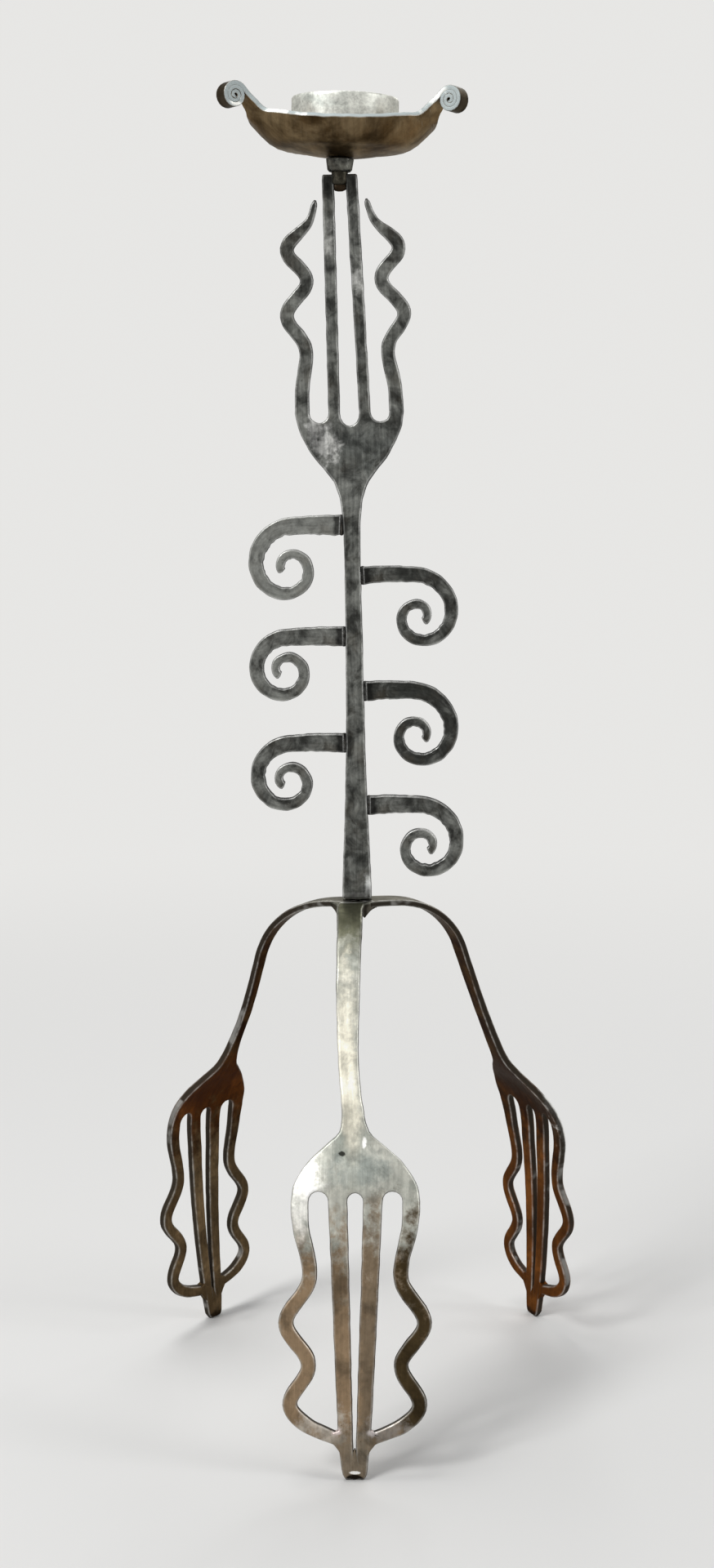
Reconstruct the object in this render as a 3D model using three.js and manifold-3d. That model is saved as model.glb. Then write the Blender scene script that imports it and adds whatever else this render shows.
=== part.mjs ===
// A candle stand welded up from four steel table forks.
// Three forks bent into arches are the legs. A fourth stands on them, tines up, as the stem.
// Six curled bars branch off the stem, and a dished pan with a candle cup sits on its tine tops.
// Millimetres, +Z up, the front leg towards -Y.

import * as THREE from 'three';
import { mergeVertices } from 'three/addons/utils/BufferGeometryUtils.js';
import Module from 'manifold-3d';

const wasm = await Module();
wasm.setup();
const rad = THREE.MathUtils.degToRad;

// Fits between pieces
const weldGap = 0.15;
const restGap = 0.3;
const boreClearance = 0.12;

// Legs: each one's direction, bends and sideways drift down the blank, as formed by hand.
// crown and radius are its arch's flat top and bend, kink its turn at the neck, bowlRoot the tine roots below it.
const legs = {
  front: {
    angle: -90, crown: 10.5, radius: 25.4, arch: 65.5, kink: -11, bowl: 15.6, bowlRoot: 19.5,
    width: 1, slim: 1, spread: 0, twist: 0,
    drift: { strap: -1.2, neck: 0.3, root: 0.7, foot: -0.3 },
  },
  rear_left: {
    angle: 150, crown: 10.2, radius: 28.2, arch: 64.9, kink: -14.2, bowl: 23.5, bowlRoot: 20.8,
    width: 0.91, slim: 0.73, spread: 0.5, twist: 6,
    drift: { strap: 2.3, neck: 5.5, root: 5.9, foot: -6.0 },
  },
  rear_right: {
    angle: 30, crown: 12.7, radius: 23.9, arch: 64.4, kink: -15.8, bowl: 25.8, bowlRoot: 20.7,
    width: 0.99, slim: 1, spread: -0.1, twist: 1.2,
    drift: { strap: -1.2, neck: -2.8, root: -5.3, foot: 8.6 },
  },
};

// Legs: the blank's bends from the apex down to the foot, as lengths of arc and turns in degrees
const apexHeight = 143.6;
const legThickness = 2.3;
const strapThickness = 1.9;
const crownTurn = 6.5;
const legNeckRun = 8.5;
const legBowlRun = 20.5;
const legTineRun = 64.5;
const legTineTurn = 6;
const legDish = 1.3;

// Legs: widths across the blank
const strapHalfAtApex = 3.9;
const strapHalfMiddle = 3.25;
const strapHalfNarrow = 2.8;
const legNeckHalf = 4.1;
const legShoulderHalf = 12.6;
const legBowlHalf = 17.4;
const legGapWidth = 5.3;
const legCentreGap = 4.3;
const legCentreTine = 5.15;

// Legs: tine ends
const footGap = 1.0;
const footTine = 2.9;
const footFlat = 1.3;
const footBevel = 1.8;
const footWaist = 11.0;
const waistTine = 3.8;
const waveTine = 4.0;
const tipEdge = 6.1;
const brazeHeight = 11.2;
const waveTip = 3.4;
const legWave = [[-0.4, 7], [-2.8, 20.5], [3.7, 32], [-2.8, 43], [2.5, 53.2], [-1.6, 58.9]];
const legWaveSpread = [0, 0.5, 1, 1, 1, 0.5];

// Stem fork: the blank from its square end on the apex up to its tine tops
const stemThickness = 2.5;
const handleRun = 104;
const stemNeckRun = 12;
const stemNeckTurn = 13;
const stemBowlRun = 32;
const stemBowlTurn = -22;
const stemTineRun = 52.6;
const stemTineTurn = 5.5;
const stemSway = 0.9;
const stemLean = -0.15;
const stemDish = 1.2;
const stemStandOff = 0.7;
const stemEndHalf = 4.2;
const handleHalf = 2.25;
const stemBowlHalf = 15.1;
const stemGapWidth = 5.3;
const stemCentreTine = 3.2;
const stemTopGap = 3.1;
const stemRoot = 137.3;
const centreGapDrop = 1.0;
const stemWaveWidth = 3.7;
const stemWaveTip = 1.5;
const stemWave = [[-0.3, 7], [-1.8, 18], [3.2, 26.8], [-3.2, 35.8], [2.4, 44], [-4.2, 51], [-6.2, 56.9]];

// Scrolls: bar sizes shared by all six, then each one's height and curl
const scrollThickness = 2.5;
const scrollTip = 2.3;
const scrollWeldWidth = 1.3;
const scrolls = {
  left_1: {
    side: -1, height: 106.3, bar: 5.6, run: 13.0, rise: 2.4,
    open: 11.6, close: 2.45, ease: 1.4, turn: 489,
  },
  left_2: {
    side: -1, height: 75.2, bar: 5.5, run: 15.6, rise: 3.3,
    open: 9.5, close: 2.0, ease: 1.1, turn: 510,
  },
  left_3: {
    side: -1, height: 45.0, bar: 5.4, run: 14.8, rise: 3.6,
    open: 10.6, close: 2.35, ease: 1.35, turn: 510,
  },
  right_1: {
    side: 1, height: 92.2, bar: 4.9, run: 13.8, rise: 4.0,
    open: 11.7, close: 2.35, ease: 1.65, turn: 506,
  },
  right_2: {
    side: 1, height: 59.7, bar: 5.5, run: 12.4, rise: 3.9,
    open: 12.6, close: 2.9, ease: 1.75, turn: 493,
  },
  right_3: {
    side: 1, height: 27.0, bar: 5.4, run: 13.6, rise: 3.9,
    open: 12.0, close: 2.55, ease: 1.6, turn: 506,
  },
};

// Pan, cup and the pin that carries them
const studRadius = 2.2;
const studSeat = 2.7;
const studStandOut = 0.9;
const collarLift = 0.6;
const collarHeight = 3.5;
const collarTop = 3.75;
const collarFoot = 3.35;
const collarChamfer = 0.6;
const panSheet = 1.35;
const panCurve = 53;
const panHalfSide = 24;
const panCorner = 27.4;
const panLip = 2.0;
const panCornerLip = 3.2;
const panTurn = 3;
const panOffCentre = 0.6;
const cupOffCentre = 1.1;
const lipStart = 16;
const tongueStart = 25.6;
const tongueRun = 8.5;
const rollWidth = 4.7;
const rollRadius = 3.05;
const rollEnd = 1.15;
const rollTurn = 425;
const rollCentreSheet = 0.75;
const cupRadius = 14.4;
const cupWall = 2.0;
const cupFloor = 2.0;
const cupHeight = 11.7;
const cupChamfer = 0.5;
const nutAcrossFlats = 8;
const nutHeight = 3.2;
const headTiltRight = 2.6;
const headTiltFront = 1.0;

// Welds
const apexWeldRadius = 6.5;
const apexWeldDepth = 2.6;
const webReach = 7.4;
const stemBeadWidth = 1.1;
const stemBeadHeight = 1.9;
const studBrazeHeight = 1.3;

// Path of a blank that is bent by a list of arcs: along the first direction, turning away from the second
function bentPath(bends) {
  const starts = [];
  let along = 0;
  let up = 0;
  let heading = 0;
  let done = 0;
  for (const { run, turn } of bends) {
    const curve = turn === 0 ? 0 : rad(turn) / run;
    starts.push({ done, along, up, heading, curve });
    const end = advance(along, up, heading, curve, run);
    along = end.along;
    up = end.up;
    heading = end.heading;
    done += run;
  }
  const at = (s) => {
    const from = starts.findLast((start) => s >= start.done) ?? starts[0];
    return advance(from.along, from.up, from.heading, from.curve, s - from.done);
  };
  return { at, length: done, end: at(done) };
}

function advance(along, up, heading, curve, run) {
  const turned = heading + curve * run;
  if (Math.abs(curve * run) < 1e-9) {
    return { along: along + run * Math.cos(heading), up: up - run * Math.sin(heading), heading };
  }
  return {
    along: along + (Math.sin(turned) - Math.sin(heading)) / curve,
    up: up + (Math.cos(turned) - Math.cos(heading)) / curve,
    heading: turned,
  };
}

// Smooth width along a blank through a few [distance, value] pairs
function smoothThrough(pairs) {
  return (s) => {
    const last = pairs.length - 1;
    if (s <= pairs[0][0]) {
      return pairs[0][1];
    }
    if (s >= pairs[last][0]) {
      return pairs[last][1];
    }
    const i = pairs.findIndex(([distance]) => distance > s) - 1;
    const [s0, v0] = pairs[i];
    const [s1, v1] = pairs[i + 1];
    const slope = (k) => {
      const before = pairs[Math.max(k - 1, 0)];
      const after = pairs[Math.min(k + 1, last)];
      return (after[1] - before[1]) / (after[0] - before[0]);
    };
    const span = s1 - s0;
    const t = (s - s0) / span;
    const t2 = t * t;
    const t3 = t2 * t;
    return (2 * t3 - 3 * t2 + 1) * v0 + (t3 - 2 * t2 + t) * span * slope(i)
      + (3 * t2 - 2 * t3) * v1 + (t3 - t2) * span * slope(i + 1);
  };
}

// Evenly spaced values, both ends included
function spaced(from, to, steps) {
  return Array.from({ length: steps + 1 }, (_, i) => from + ((to - from) * i) / steps);
}

// Closed mesh from points and triangles, turned so that its faces point outwards
function closedGeometry(points, triangles) {
  let volume = 0;
  const normal = new THREE.Vector3();
  for (const [a, b, c] of triangles) {
    volume += points[a].dot(normal.crossVectors(points[b], points[c]));
  }
  const index = triangles.flatMap(([a, b, c]) => (volume < 0 ? [a, c, b] : [a, b, c]));
  const geometry = new THREE.BufferGeometry().setFromPoints(points);
  geometry.setIndex(index);
  geometry.computeVertexNormals();
  return geometry;
}

// Solid lofted through rings of equal count, with flat convex ends
function loft(rings) {
  const count = rings[0].length;
  const triangles = [];
  for (let r = 0; r + 1 < rings.length; r++) {
    for (let k = 0; k < count; k++) {
      const next = (k + 1) % count;
      const a = r * count;
      const b = a + count;
      triangles.push([a + k, a + next, b + next], [a + k, b + next, b + k]);
    }
  }
  const top = (rings.length - 1) * count;
  for (let k = 1; k + 1 < count; k++) {
    triangles.push([0, k + 1, k], [top, top + k, top + k + 1]);
  }
  return closedGeometry(rings.flat(), triangles);
}

// Bent sheet: rows of points across the blank on both faces, with walls wherever a face ends
function plate(place, offsets) {
  const front = [];
  const back = [];
  const faces = [];
  const add = (u, s) => {
    const { outer, inner } = offsets(u, s);
    front.push(place(u, s, outer));
    back.push(place(u, s, -inner));
    return { id: front.length - 1, u };
  };
  const strip = (low, high) => {
    const share = (row, i) => (row[i].u - row[0].u) / (row[row.length - 1].u - row[0].u);
    let i = 0;
    let j = 0;
    while (i + 1 < low.length || j + 1 < high.length) {
      const lowNext = i + 1 < low.length ? share(low, i + 1) : Infinity;
      const highNext = j + 1 < high.length ? share(high, j + 1) : Infinity;
      if (lowNext < highNext) {
        faces.push([low[i].id, low[i + 1].id, high[j].id]);
        i++;
      } else {
        faces.push([low[i].id, high[j + 1].id, high[j].id]);
        j++;
      }
    }
  };
  const geometry = () => {
    const edges = new Map();
    for (const [a, b, c] of faces) {
      for (const [from, to] of [[a, b], [b, c], [c, a]]) {
        if (!edges.delete(`${to},${from}`)) {
          edges.set(`${from},${to}`, [from, to]);
        }
      }
    }
    const n = front.length;
    const triangles = faces.flatMap(([a, b, c]) => [[a, b, c], [a + n, c + n, b + n]]);
    for (const [from, to] of edges.values()) {
      triangles.push([from, from + n, to + n], [from, to + n, to]);
    }
    return closedGeometry([...front, ...back], triangles);
  };
  return { add, strip, geometry };
}

// Row across the tine roots: each tine's two edges, and a round gap end between neighbours
function rootRow(sheet, tines, rootAt, centreDrop) {
  const arcSteps = 4;
  return tines.flatMap(([left, right], k) => {
    const row = [sheet.add(left, rootAt), sheet.add(right, rootAt)];
    if (k + 1 === tines.length) {
      return row;
    }
    const gap = (tines[k + 1][0] - right) / 2;
    const drop = k === 1 ? centreDrop : 0;
    for (let i = 1; i < arcSteps; i++) {
      const angle = (Math.PI * i) / arcSteps;
      row.push(sheet.add(right + gap - gap * Math.cos(angle), rootAt - (gap + drop) * Math.sin(angle)));
    }
    return row;
  });
}

// Straight tine through [distance, left, right] stations
function straightTine(sheet, rootPair, stations) {
  let low = rootPair;
  for (const [s, left, right] of stations) {
    const high = [sheet.add(left, s), sheet.add(right, s)];
    sheet.strip(low, high);
    low = high;
  }
}

// Waved tine along a smooth line through [across, distance] points, its end square or cut lengthwise
function wavedTine(sheet, rootPair, points, widths, steps, cutAt) {
  const line = new THREE.SplineCurve(points.map(([u, s]) => new THREE.Vector2(u, s)));
  let low = rootPair;
  for (const t of spaced(0, 1, steps).slice(1)) {
    const middle = line.getPointAt(t);
    const ahead = line.getTangentAt(t);
    const high = [1, -1].map((edge) => {
      const across = new THREE.Vector2(-ahead.y, ahead.x).multiplyScalar((edge * widths(t)) / 2);
      const point = middle.clone().add(across);
      if (t === 1 && cutAt !== undefined) {
        point.addScaledVector(ahead, (cutAt - point.x) / ahead.x);
      }
      return sheet.add(point.x, point.y);
    });
    sheet.strip(low, high);
    low = high;
  }
}

// Rectangle in the plane of two directions, as a loft ring
function rectangle(corner, widthFrom, widthTo, depthFrom, depthTo) {
  return [
    corner(widthFrom, depthFrom),
    corner(widthTo, depthFrom),
    corner(widthTo, depthTo),
    corner(widthFrom, depthTo),
  ];
}

// Curl: a straight run that arches over by twice its rise, then a bend that tightens to the end
function curlPath({ run, rise, open, close, ease, turn }, runSteps, curlSteps) {
  const stations = [{ x: 0, y: 0, heading: rad(rise) }];
  let { x, y, heading } = stations[0];
  const move = (length, bend) => {
    x += length * Math.cos(heading - bend / 2);
    y += length * Math.sin(heading - bend / 2);
    heading -= bend;
  };
  for (let i = 0; i < runSteps; i++) {
    move(run / runSteps, (2 * rad(rise)) / runSteps);
    stations.push({ x, y, heading });
  }
  const fine = 6;
  for (let i = 0; i < curlSteps; i++) {
    for (let k = 0; k < fine; k++) {
      const left = 1 - (i + (k + 0.5) / fine) / curlSteps;
      const bend = rad(turn) / (curlSteps * fine);
      move((close + (open - close) * left ** ease) * bend, bend);
    }
    stations.push({ x, y, heading });
  }
  return stations;
}

// Conversions between three.js geometry and solids for cutting and joining
function toSolid(geometry) {
  const bare = geometry.clone();
  bare.deleteAttribute('normal');
  bare.deleteAttribute('uv');
  const merged = mergeVertices(bare, 1e-4);
  return new wasm.Manifold(new wasm.Mesh({
    numProp: 3,
    vertProperties: merged.attributes.position.array,
    triVerts: new Uint32Array(merged.index.array),
  }));
}

function fromSolid(solid) {
  const { vertProperties, triVerts } = solid.getMesh();
  const geometry = new THREE.BufferGeometry();
  geometry.setAttribute('position', new THREE.BufferAttribute(vertProperties, 3));
  geometry.setIndex(new THREE.BufferAttribute(triVerts, 1));
  geometry.computeVertexNormals();
  return geometry;
}

// Materials
const metal = (color, roughness, metalness) => (
  new THREE.MeshStandardMaterial({ color, roughness, metalness })
);
const darkSteel = () => metal(0x5c5b58, 0.42, 0.9);
const brightSteel = () => metal(0x9a978f, 0.35, 0.9);
const brownSteel = () => metal(0x6b5f52, 0.4, 0.9);
const weldMetal = () => metal(0x6e6a64, 0.6, 0.8);

const stand = new THREE.Group();

function addPiece(parent, name, geometry, material) {
  const mesh = new THREE.Mesh(geometry, material);
  mesh.name = name;
  parent.add(mesh);
  return mesh;
}

// Legs
const mitreCorner = (strapHalfAtApex * Math.cos(rad(60)) + weldGap) / Math.sin(rad(60));

// Depth of a dished bowl, full in its middle and gone at its two ends and edges
function dishAt(u, s, from, to, half, depth) {
  const along = Math.sin(Math.PI * THREE.MathUtils.clamp((s - from) / (to - from), 0, 1)) ** 2;
  const across = Math.max(0, 1 - (u / half) ** 2);
  return depth * along * across;
}

// One leg's blank: its path, its places along the outline and the point for any spot on it
function legBlank({ crown, radius, arch, kink, bowl, bowlRoot, width, slim, spread, twist, drift }) {
  const strapHeading = rad(crownTurn + arch);
  const bendsFor = (strapRun) => [
    { run: crown, turn: crownTurn },
    { run: radius * rad(arch), turn: arch },
    { run: strapRun, turn: 0 },
    { run: legNeckRun, turn: kink },
    { run: legBowlRun, turn: bowl },
    { run: legTineRun, turn: legTineTurn },
  ];
  const drop = apexHeight - strapThickness / 2;
  const missing = drop + bentPath(bendsFor(0)).end.up;
  const strapRun = missing / Math.sin(strapHeading);
  const path = bentPath(bendsFor(strapRun));
  const neck = crown + radius * rad(arch) + strapRun;
  const root = neck + bowlRoot;
  const end = path.length;
  const sideways = smoothThrough([
    [8, 0],
    [22, drift.strap],
    [neck - 18, drift.strap],
    [neck, drift.neck],
    [root, drift.root],
    [end, drift.foot],
  ]);
  const place = (u, s, n) => {
    const { along, up, heading } = path.at(s);
    const flat = n + dishAt(u, s, neck - 4, root + 12, legBowlHalf, legDish);
    const turned = rad(twist) * THREE.MathUtils.smoothstep(s, crown, neck);
    const across = u * width * Math.cos(turned) - flat * Math.sin(turned);
    const out = u * width * Math.sin(turned) + flat * Math.cos(turned);
    const point = new THREE.Vector3(
      along + out * Math.sin(heading),
      across + sideways(s),
      drop + up + out * Math.cos(heading),
    );
    if (s > end - 1e-6) {
      point.z = 0;
    }
    return point;
  };
  return { place, slim, spread, neck, root, end, waist: end - footWaist };
}

function legForkGeometry({ place, slim, spread, neck, root, end, waist }) {
  const half = smoothThrough([
    [mitreCorner, strapHalfAtApex],
    [mitreCorner + 12, ((strapHalfAtApex + strapHalfMiddle) / 2) * slim ** 0.5],
    [neck * 0.5, strapHalfMiddle * slim],
    [neck * 0.76, strapHalfNarrow * slim],
    [neck - 6, strapHalfNarrow * 1.05 * slim],
    [neck + 1, legNeckHalf],
    [neck + 5, (legNeckHalf + legShoulderHalf) / 2],
    [neck + 9, legShoulderHalf],
    [neck + 14.5, legBowlHalf * 0.94],
    [root, legBowlHalf],
  ]);
  const sheet = plate(place, (u, s) => {
    const bevel = THREE.MathUtils.clamp((s - (end - footBevel)) / footBevel, 0, 1);
    const taper = THREE.MathUtils.smoothstep(s, neck * 0.5, neck);
    const half = THREE.MathUtils.lerp(strapThickness, legThickness, taper) / 2;
    return { outer: half - bevel * (legThickness - footFlat), inner: half };
  });
  const innerEdge = legCentreGap / 2;
  const outerEdge = innerEdge + legCentreTine;
  const waveInner = outerEdge + legGapWidth;
  const tines = [
    [-legBowlHalf, -waveInner],
    [-outerEdge, -innerEdge],
    [innerEdge, outerEdge],
    [waveInner, legBowlHalf],
  ];

  const mitreStart = 0.3;
  const mitreTip = (mitreStart * Math.cos(rad(60)) + weldGap) / Math.sin(rad(60));
  let low = [sheet.add(-mitreStart, mitreTip), sheet.add(mitreStart, mitreTip)];
  for (const s of spaced(mitreCorner, neck - 6, 16)) {
    const high = [sheet.add(-half(s), s), sheet.add(half(s), s)];
    sheet.strip(low, high);
    low = high;
  }
  const bowlEnd = root - legGapWidth / 2 - 2;
  spaced(neck - 6, bowlEnd, 8).slice(1).forEach((s, i) => {
    const columns = i < 2 ? 2 : 6;
    const high = spaced(-half(s), half(s), columns).map((u) => sheet.add(u, s));
    sheet.strip(low, high);
    low = high;
  });
  const roots = rootRow(sheet, tines, root, 0);
  sheet.strip(low, roots);

  const perTine = 5;
  const pairs = tines.map((_, k) => roots.slice(k * perTine, k * perTine + 2));
  for (const side of [-1, 1]) {
    const straight = spaced(root, waist, 6).slice(1).map((s) => {
      const share = (s - root) / (waist - root);
      const near = THREE.MathUtils.lerp(innerEdge, footGap / 2, share);
      const far = THREE.MathUtils.lerp(outerEdge, footGap / 2 + waistTine, share);
      return [s, near, far];
    });
    straight.push([end - footBevel, footGap / 2, footEdgeAt(footBevel)]);
    straight.push([end, footGap / 2, footEdgeAt(0)]);
    const mirrored = straight.map(([s, near, far]) => (side < 0 ? [s, -far, -near] : [s, near, far]));
    straightTine(sheet, pairs[side < 0 ? 1 : 2], mirrored);

    const middle = (waveInner + legBowlHalf) / 2;
    const wave = [
      [middle, root],
      ...legWave.map(([offset, past], k) => [middle + offset + spread * legWaveSpread[k], root + past]),
      [tipEdge, end - brazeHeight],
    ];
    const widths = (t) => waveTine
      + (legBowlHalf - waveInner - waveTine) * Math.max(0, 1 - 5 * t)
      + (waveTip - waveTine) * THREE.MathUtils.smoothstep(t, 0.85, 1);
    const line = wave.map(([u, s]) => [side * u, s]);
    wavedTine(sheet, pairs[side < 0 ? 0 : 3], line, widths, 34, side * tipEdge);
  }
  return sheet.geometry();
}

// Outer edge of a centre tine at a distance from the foot's end, below the waist
function footEdgeAt(fromEnd) {
  return footGap / 2 + THREE.MathUtils.lerp(footTine, waistTine, fromEnd / footWaist);
}

// Weld that fills the narrow gap between the two centre tines of a foot
function footWeldGeometry({ place, waist, end }) {
  const half = footGap / 2 - weldGap;
  const depth = legThickness / 2 - 0.15;
  const rings = [[waist + 1, 0.6], [waist + 4, 1], [end - 2.2, 1], [end - 0.6, 0.2]];
  return loft(rings.map(([s, share]) => (
    rectangle((u, n) => place(u, s, n), -half, half, -depth, depth * share)
  )));
}

// Braze between a centre tine's edge and the turned-in tip of its outer tine
function tineBrazeGeometry({ place, end }, side) {
  const middle = end - brazeHeight;
  const depth = legThickness / 2 - 0.2;
  const tall = waveTine * 0.75;
  const near = (s) => footEdgeAt(end - s) + weldGap;
  const far = tipEdge - weldGap;
  const rings = [
    { share: 0, half: tall, n: depth },
    { share: 0.5, half: tall * 0.78, n: depth * 0.92 },
    { share: 1, half: tall * 0.75, n: depth * 0.88 },
  ];
  return loft(rings.map(({ share, half, n }) => (
    rectangle(
      (s, offset) => place(side * THREE.MathUtils.lerp(near(s), far, share), s, offset),
      middle - half,
      middle + half,
      -n,
      n,
    )
  )));
}

for (const [name, shape] of Object.entries(legs)) {
  const blank = legBlank(shape);
  const leg = new THREE.Group();
  leg.rotation.z = rad(shape.angle);
  stand.add(leg);
  addPiece(leg, `leg_fork_${name}`, legForkGeometry(blank), name === 'front' ? brightSteel() : brownSteel());
  addPiece(leg, `foot_weld_${name}`, footWeldGeometry(blank), weldMetal());
  addPiece(leg, `tine_braze_${name}_left`, tineBrazeGeometry(blank, -1), weldMetal());
  addPiece(leg, `tine_braze_${name}_right`, tineBrazeGeometry(blank, 1), weldMetal());
}

// Weld under the straps, with a web standing up in each crotch between two of them
function apexWeldGeometry() {
  const under = apexHeight - strapThickness - restGap * 1.5;
  const bead = new THREE.LatheGeometry([
    new THREE.Vector2(0, under - apexWeldDepth),
    new THREE.Vector2(apexWeldRadius * 0.55, under - apexWeldDepth * 0.85),
    new THREE.Vector2(apexWeldRadius * 0.9, under - apexWeldDepth * 0.45),
    new THREE.Vector2(apexWeldRadius, under - apexWeldDepth * 0.1),
    new THREE.Vector2(apexWeldRadius * 0.97, under),
    new THREE.Vector2(0, under),
  ], 24);
  bead.rotateX(Math.PI / 2);
  let solid = toSolid(bead);
  const crotch = (strapHalfAtApex + weldGap) / Math.sin(rad(60));
  const armSide = webReach - crotch;
  for (const { angle } of Object.values(legs)) {
    const web = new THREE.Shape();
    web.moveTo(crotch, 0);
    web.lineTo(crotch + armSide * Math.cos(rad(60)), -armSide * Math.sin(rad(60)));
    web.quadraticCurveTo(
      crotch + 1.2,
      0,
      crotch + armSide * Math.cos(rad(60)),
      armSide * Math.sin(rad(60)),
    );
    web.closePath();
    const standUp = new THREE.ExtrudeGeometry(web, {
      depth: strapThickness + restGap * 1.5 + 0.3,
      bevelEnabled: false,
      curveSegments: 5,
    });
    standUp.translate(0, 0, under - 0.9);
    standUp.rotateZ(rad(angle + 180));
    solid = solid.add(toSolid(standUp));
  }
  return fromSolid(solid);
}
addPiece(stand, 'apex_weld', apexWeldGeometry(), weldMetal());

// Stem fork
const stemFoot = apexHeight + stemStandOff;
const stemPath = bentPath([
  { run: handleRun, turn: 0 },
  { run: stemNeckRun, turn: stemNeckTurn },
  { run: stemBowlRun, turn: stemBowlTurn },
  { run: stemTineRun, turn: stemTineTurn },
]);
const stemEnd = stemPath.length;
const stemTop = stemFoot + stemPath.end.along;

const stemHalf = smoothThrough([
  [0, stemEndHalf],
  [handleRun * 0.105, stemEndHalf * 0.92],
  [handleRun * 0.24, stemEndHalf * 0.775],
  [handleRun * 0.4, handleHalf * 1.22],
  [handleRun * 0.62, handleHalf * 1.09],
  [handleRun * 0.95, handleHalf],
  [handleRun + 4.5, handleHalf * 1.12],
  [handleRun + 8, handleHalf * 1.32],
  [stemRoot - 23, handleHalf * 1.51],
  [stemRoot - 19, stemBowlHalf * 0.32],
  [stemRoot - 15.5, stemBowlHalf * 0.49],
  [stemRoot - 11.5, stemBowlHalf * 0.705],
  [stemRoot - 4.8, stemBowlHalf * 0.935],
  [stemRoot, stemBowlHalf],
]);

function stemDrift(s) {
  return stemSway * Math.sin((Math.PI * s) / stemEnd) + stemLean;
}

function stemPlace(u, s, n) {
  const { along, up, heading } = stemPath.at(s);
  const dish = dishAt(u, s, handleRun, stemRoot + 10, stemBowlHalf, stemDish);
  const out = n - dish;
  return new THREE.Vector3(
    u + stemDrift(s),
    -(up + out * Math.cos(heading)),
    stemFoot + along + out * Math.sin(heading),
  );
}

// Head: everything above the tine tops, leaning a little as on the real stand
const head = new THREE.Group();
head.position.copy(stemPlace(0, stemEnd, 0));
head.rotation.set(rad(headTiltFront), rad(headTiltRight), 0);
stand.add(head);
head.updateMatrixWorld(true);

function stemForkGeometry() {
  const half = stemThickness / 2;
  const sheet = plate(stemPlace, () => ({ outer: half, inner: half }));
  const innerEdge = stemGapWidth / 2;
  const outerEdge = innerEdge + stemCentreTine;
  const waveInner = outerEdge + stemGapWidth;
  const tines = [
    [-stemBowlHalf, -waveInner],
    [-outerEdge, -innerEdge],
    [innerEdge, outerEdge],
    [waveInner, stemBowlHalf],
  ];

  let low = [sheet.add(-stemHalf(0), 0), sheet.add(stemHalf(0), 0)];
  for (const s of spaced(0, handleRun, 10).slice(1)) {
    const high = [sheet.add(-stemHalf(s), s), sheet.add(stemHalf(s), s)];
    sheet.strip(low, high);
    low = high;
  }
  const bowlEnd = stemRoot - stemGapWidth / 2 - centreGapDrop - 1.5;
  spaced(handleRun, bowlEnd, 10).slice(1).forEach((s, i) => {
    const columns = i < 4 ? 2 : 6;
    const high = spaced(-stemHalf(s), stemHalf(s), columns).map((u) => sheet.add(u, s));
    sheet.strip(low, high);
    low = high;
  });
  const roots = rootRow(sheet, tines, stemRoot, centreGapDrop);
  sheet.strip(low, roots);

  const perTine = 5;
  const pairs = tines.map((_, k) => roots.slice(k * perTine, k * perTine + 2));
  for (const side of [-1, 1]) {
    const straight = spaced(stemRoot, stemEnd, 6).slice(1).map((s) => {
      const share = (s - stemRoot) / (stemEnd - stemRoot);
      const near = THREE.MathUtils.lerp(innerEdge, stemTopGap / 2, share);
      const far = near + stemCentreTine;
      return side < 0 ? [s, -far, -near] : [s, near, far];
    });
    straightTine(sheet, pairs[side < 0 ? 1 : 2], straight);

    const root = (waveInner + stemBowlHalf) / 2;
    const wave = [
      [root, stemRoot],
      ...stemWave.map(([offset, past]) => [root + offset, stemRoot + past]),
    ];
    const full = stemBowlHalf - waveInner;
    const widths = (t) => THREE.MathUtils.lerp(full, stemWaveWidth, Math.min(1, t * 4))
      + (stemWaveTip - stemWaveWidth) * THREE.MathUtils.smoothstep(t, 0.78, 1);
    wavedTine(sheet, pairs[side < 0 ? 0 : 3], wave.map(([u, s]) => [side * u, s]), widths, 34);
  }

  const seatRadius = studRadius + boreClearance * 2;
  const seatLength = studSeat + 4;
  const seat = new THREE.CylinderGeometry(seatRadius, seatRadius, seatLength, 24);
  seat.rotateX(Math.PI / 2);
  seat.translate(0, 0, seatLength / 2 - studSeat - restGap);
  seat.applyMatrix4(head.matrixWorld);
  return fromSolid(toSolid(sheet.geometry()).subtract(toSolid(seat)));
}
addPiece(stand, 'stem_fork', stemForkGeometry(), darkSteel());

// Bead round the back and both sides of the stem's end
function stemWeldGeometry() {
  const halfWidth = stemHalf(0);
  const back = stemThickness / 2;
  const centre = stemDrift(0);
  const ring = (spread, z) => {
    const sideways = halfWidth + spread;
    return [
      new THREE.Vector3(centre - sideways, -back * 0.2, z),
      new THREE.Vector3(centre + sideways, -back * 0.2, z),
      new THREE.Vector3(centre + sideways, back + spread * 0.5, z),
      new THREE.Vector3(centre + sideways - spread * 0.7, back + spread, z),
      new THREE.Vector3(centre - sideways + spread * 0.7, back + spread, z),
      new THREE.Vector3(centre - sideways, back + spread * 0.5, z),
    ];
  };
  const bead = loft([
    ring(stemBeadWidth, apexHeight + weldGap),
    ring(stemBeadWidth * 0.7, apexHeight + stemBeadHeight * 0.45),
    ring(weldGap * 2, apexHeight + stemBeadHeight),
  ]);
  const clear = new THREE.BoxGeometry(
    (halfWidth + weldGap) * 2,
    stemThickness + weldGap * 2 + 4,
    stemBeadHeight * 4,
  );
  clear.translate(centre, -2, apexHeight + stemBeadHeight);
  return fromSolid(toSolid(bead).subtract(toSolid(clear)));
}
addPiece(stand, 'stem_weld', stemWeldGeometry(), weldMetal());

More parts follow.
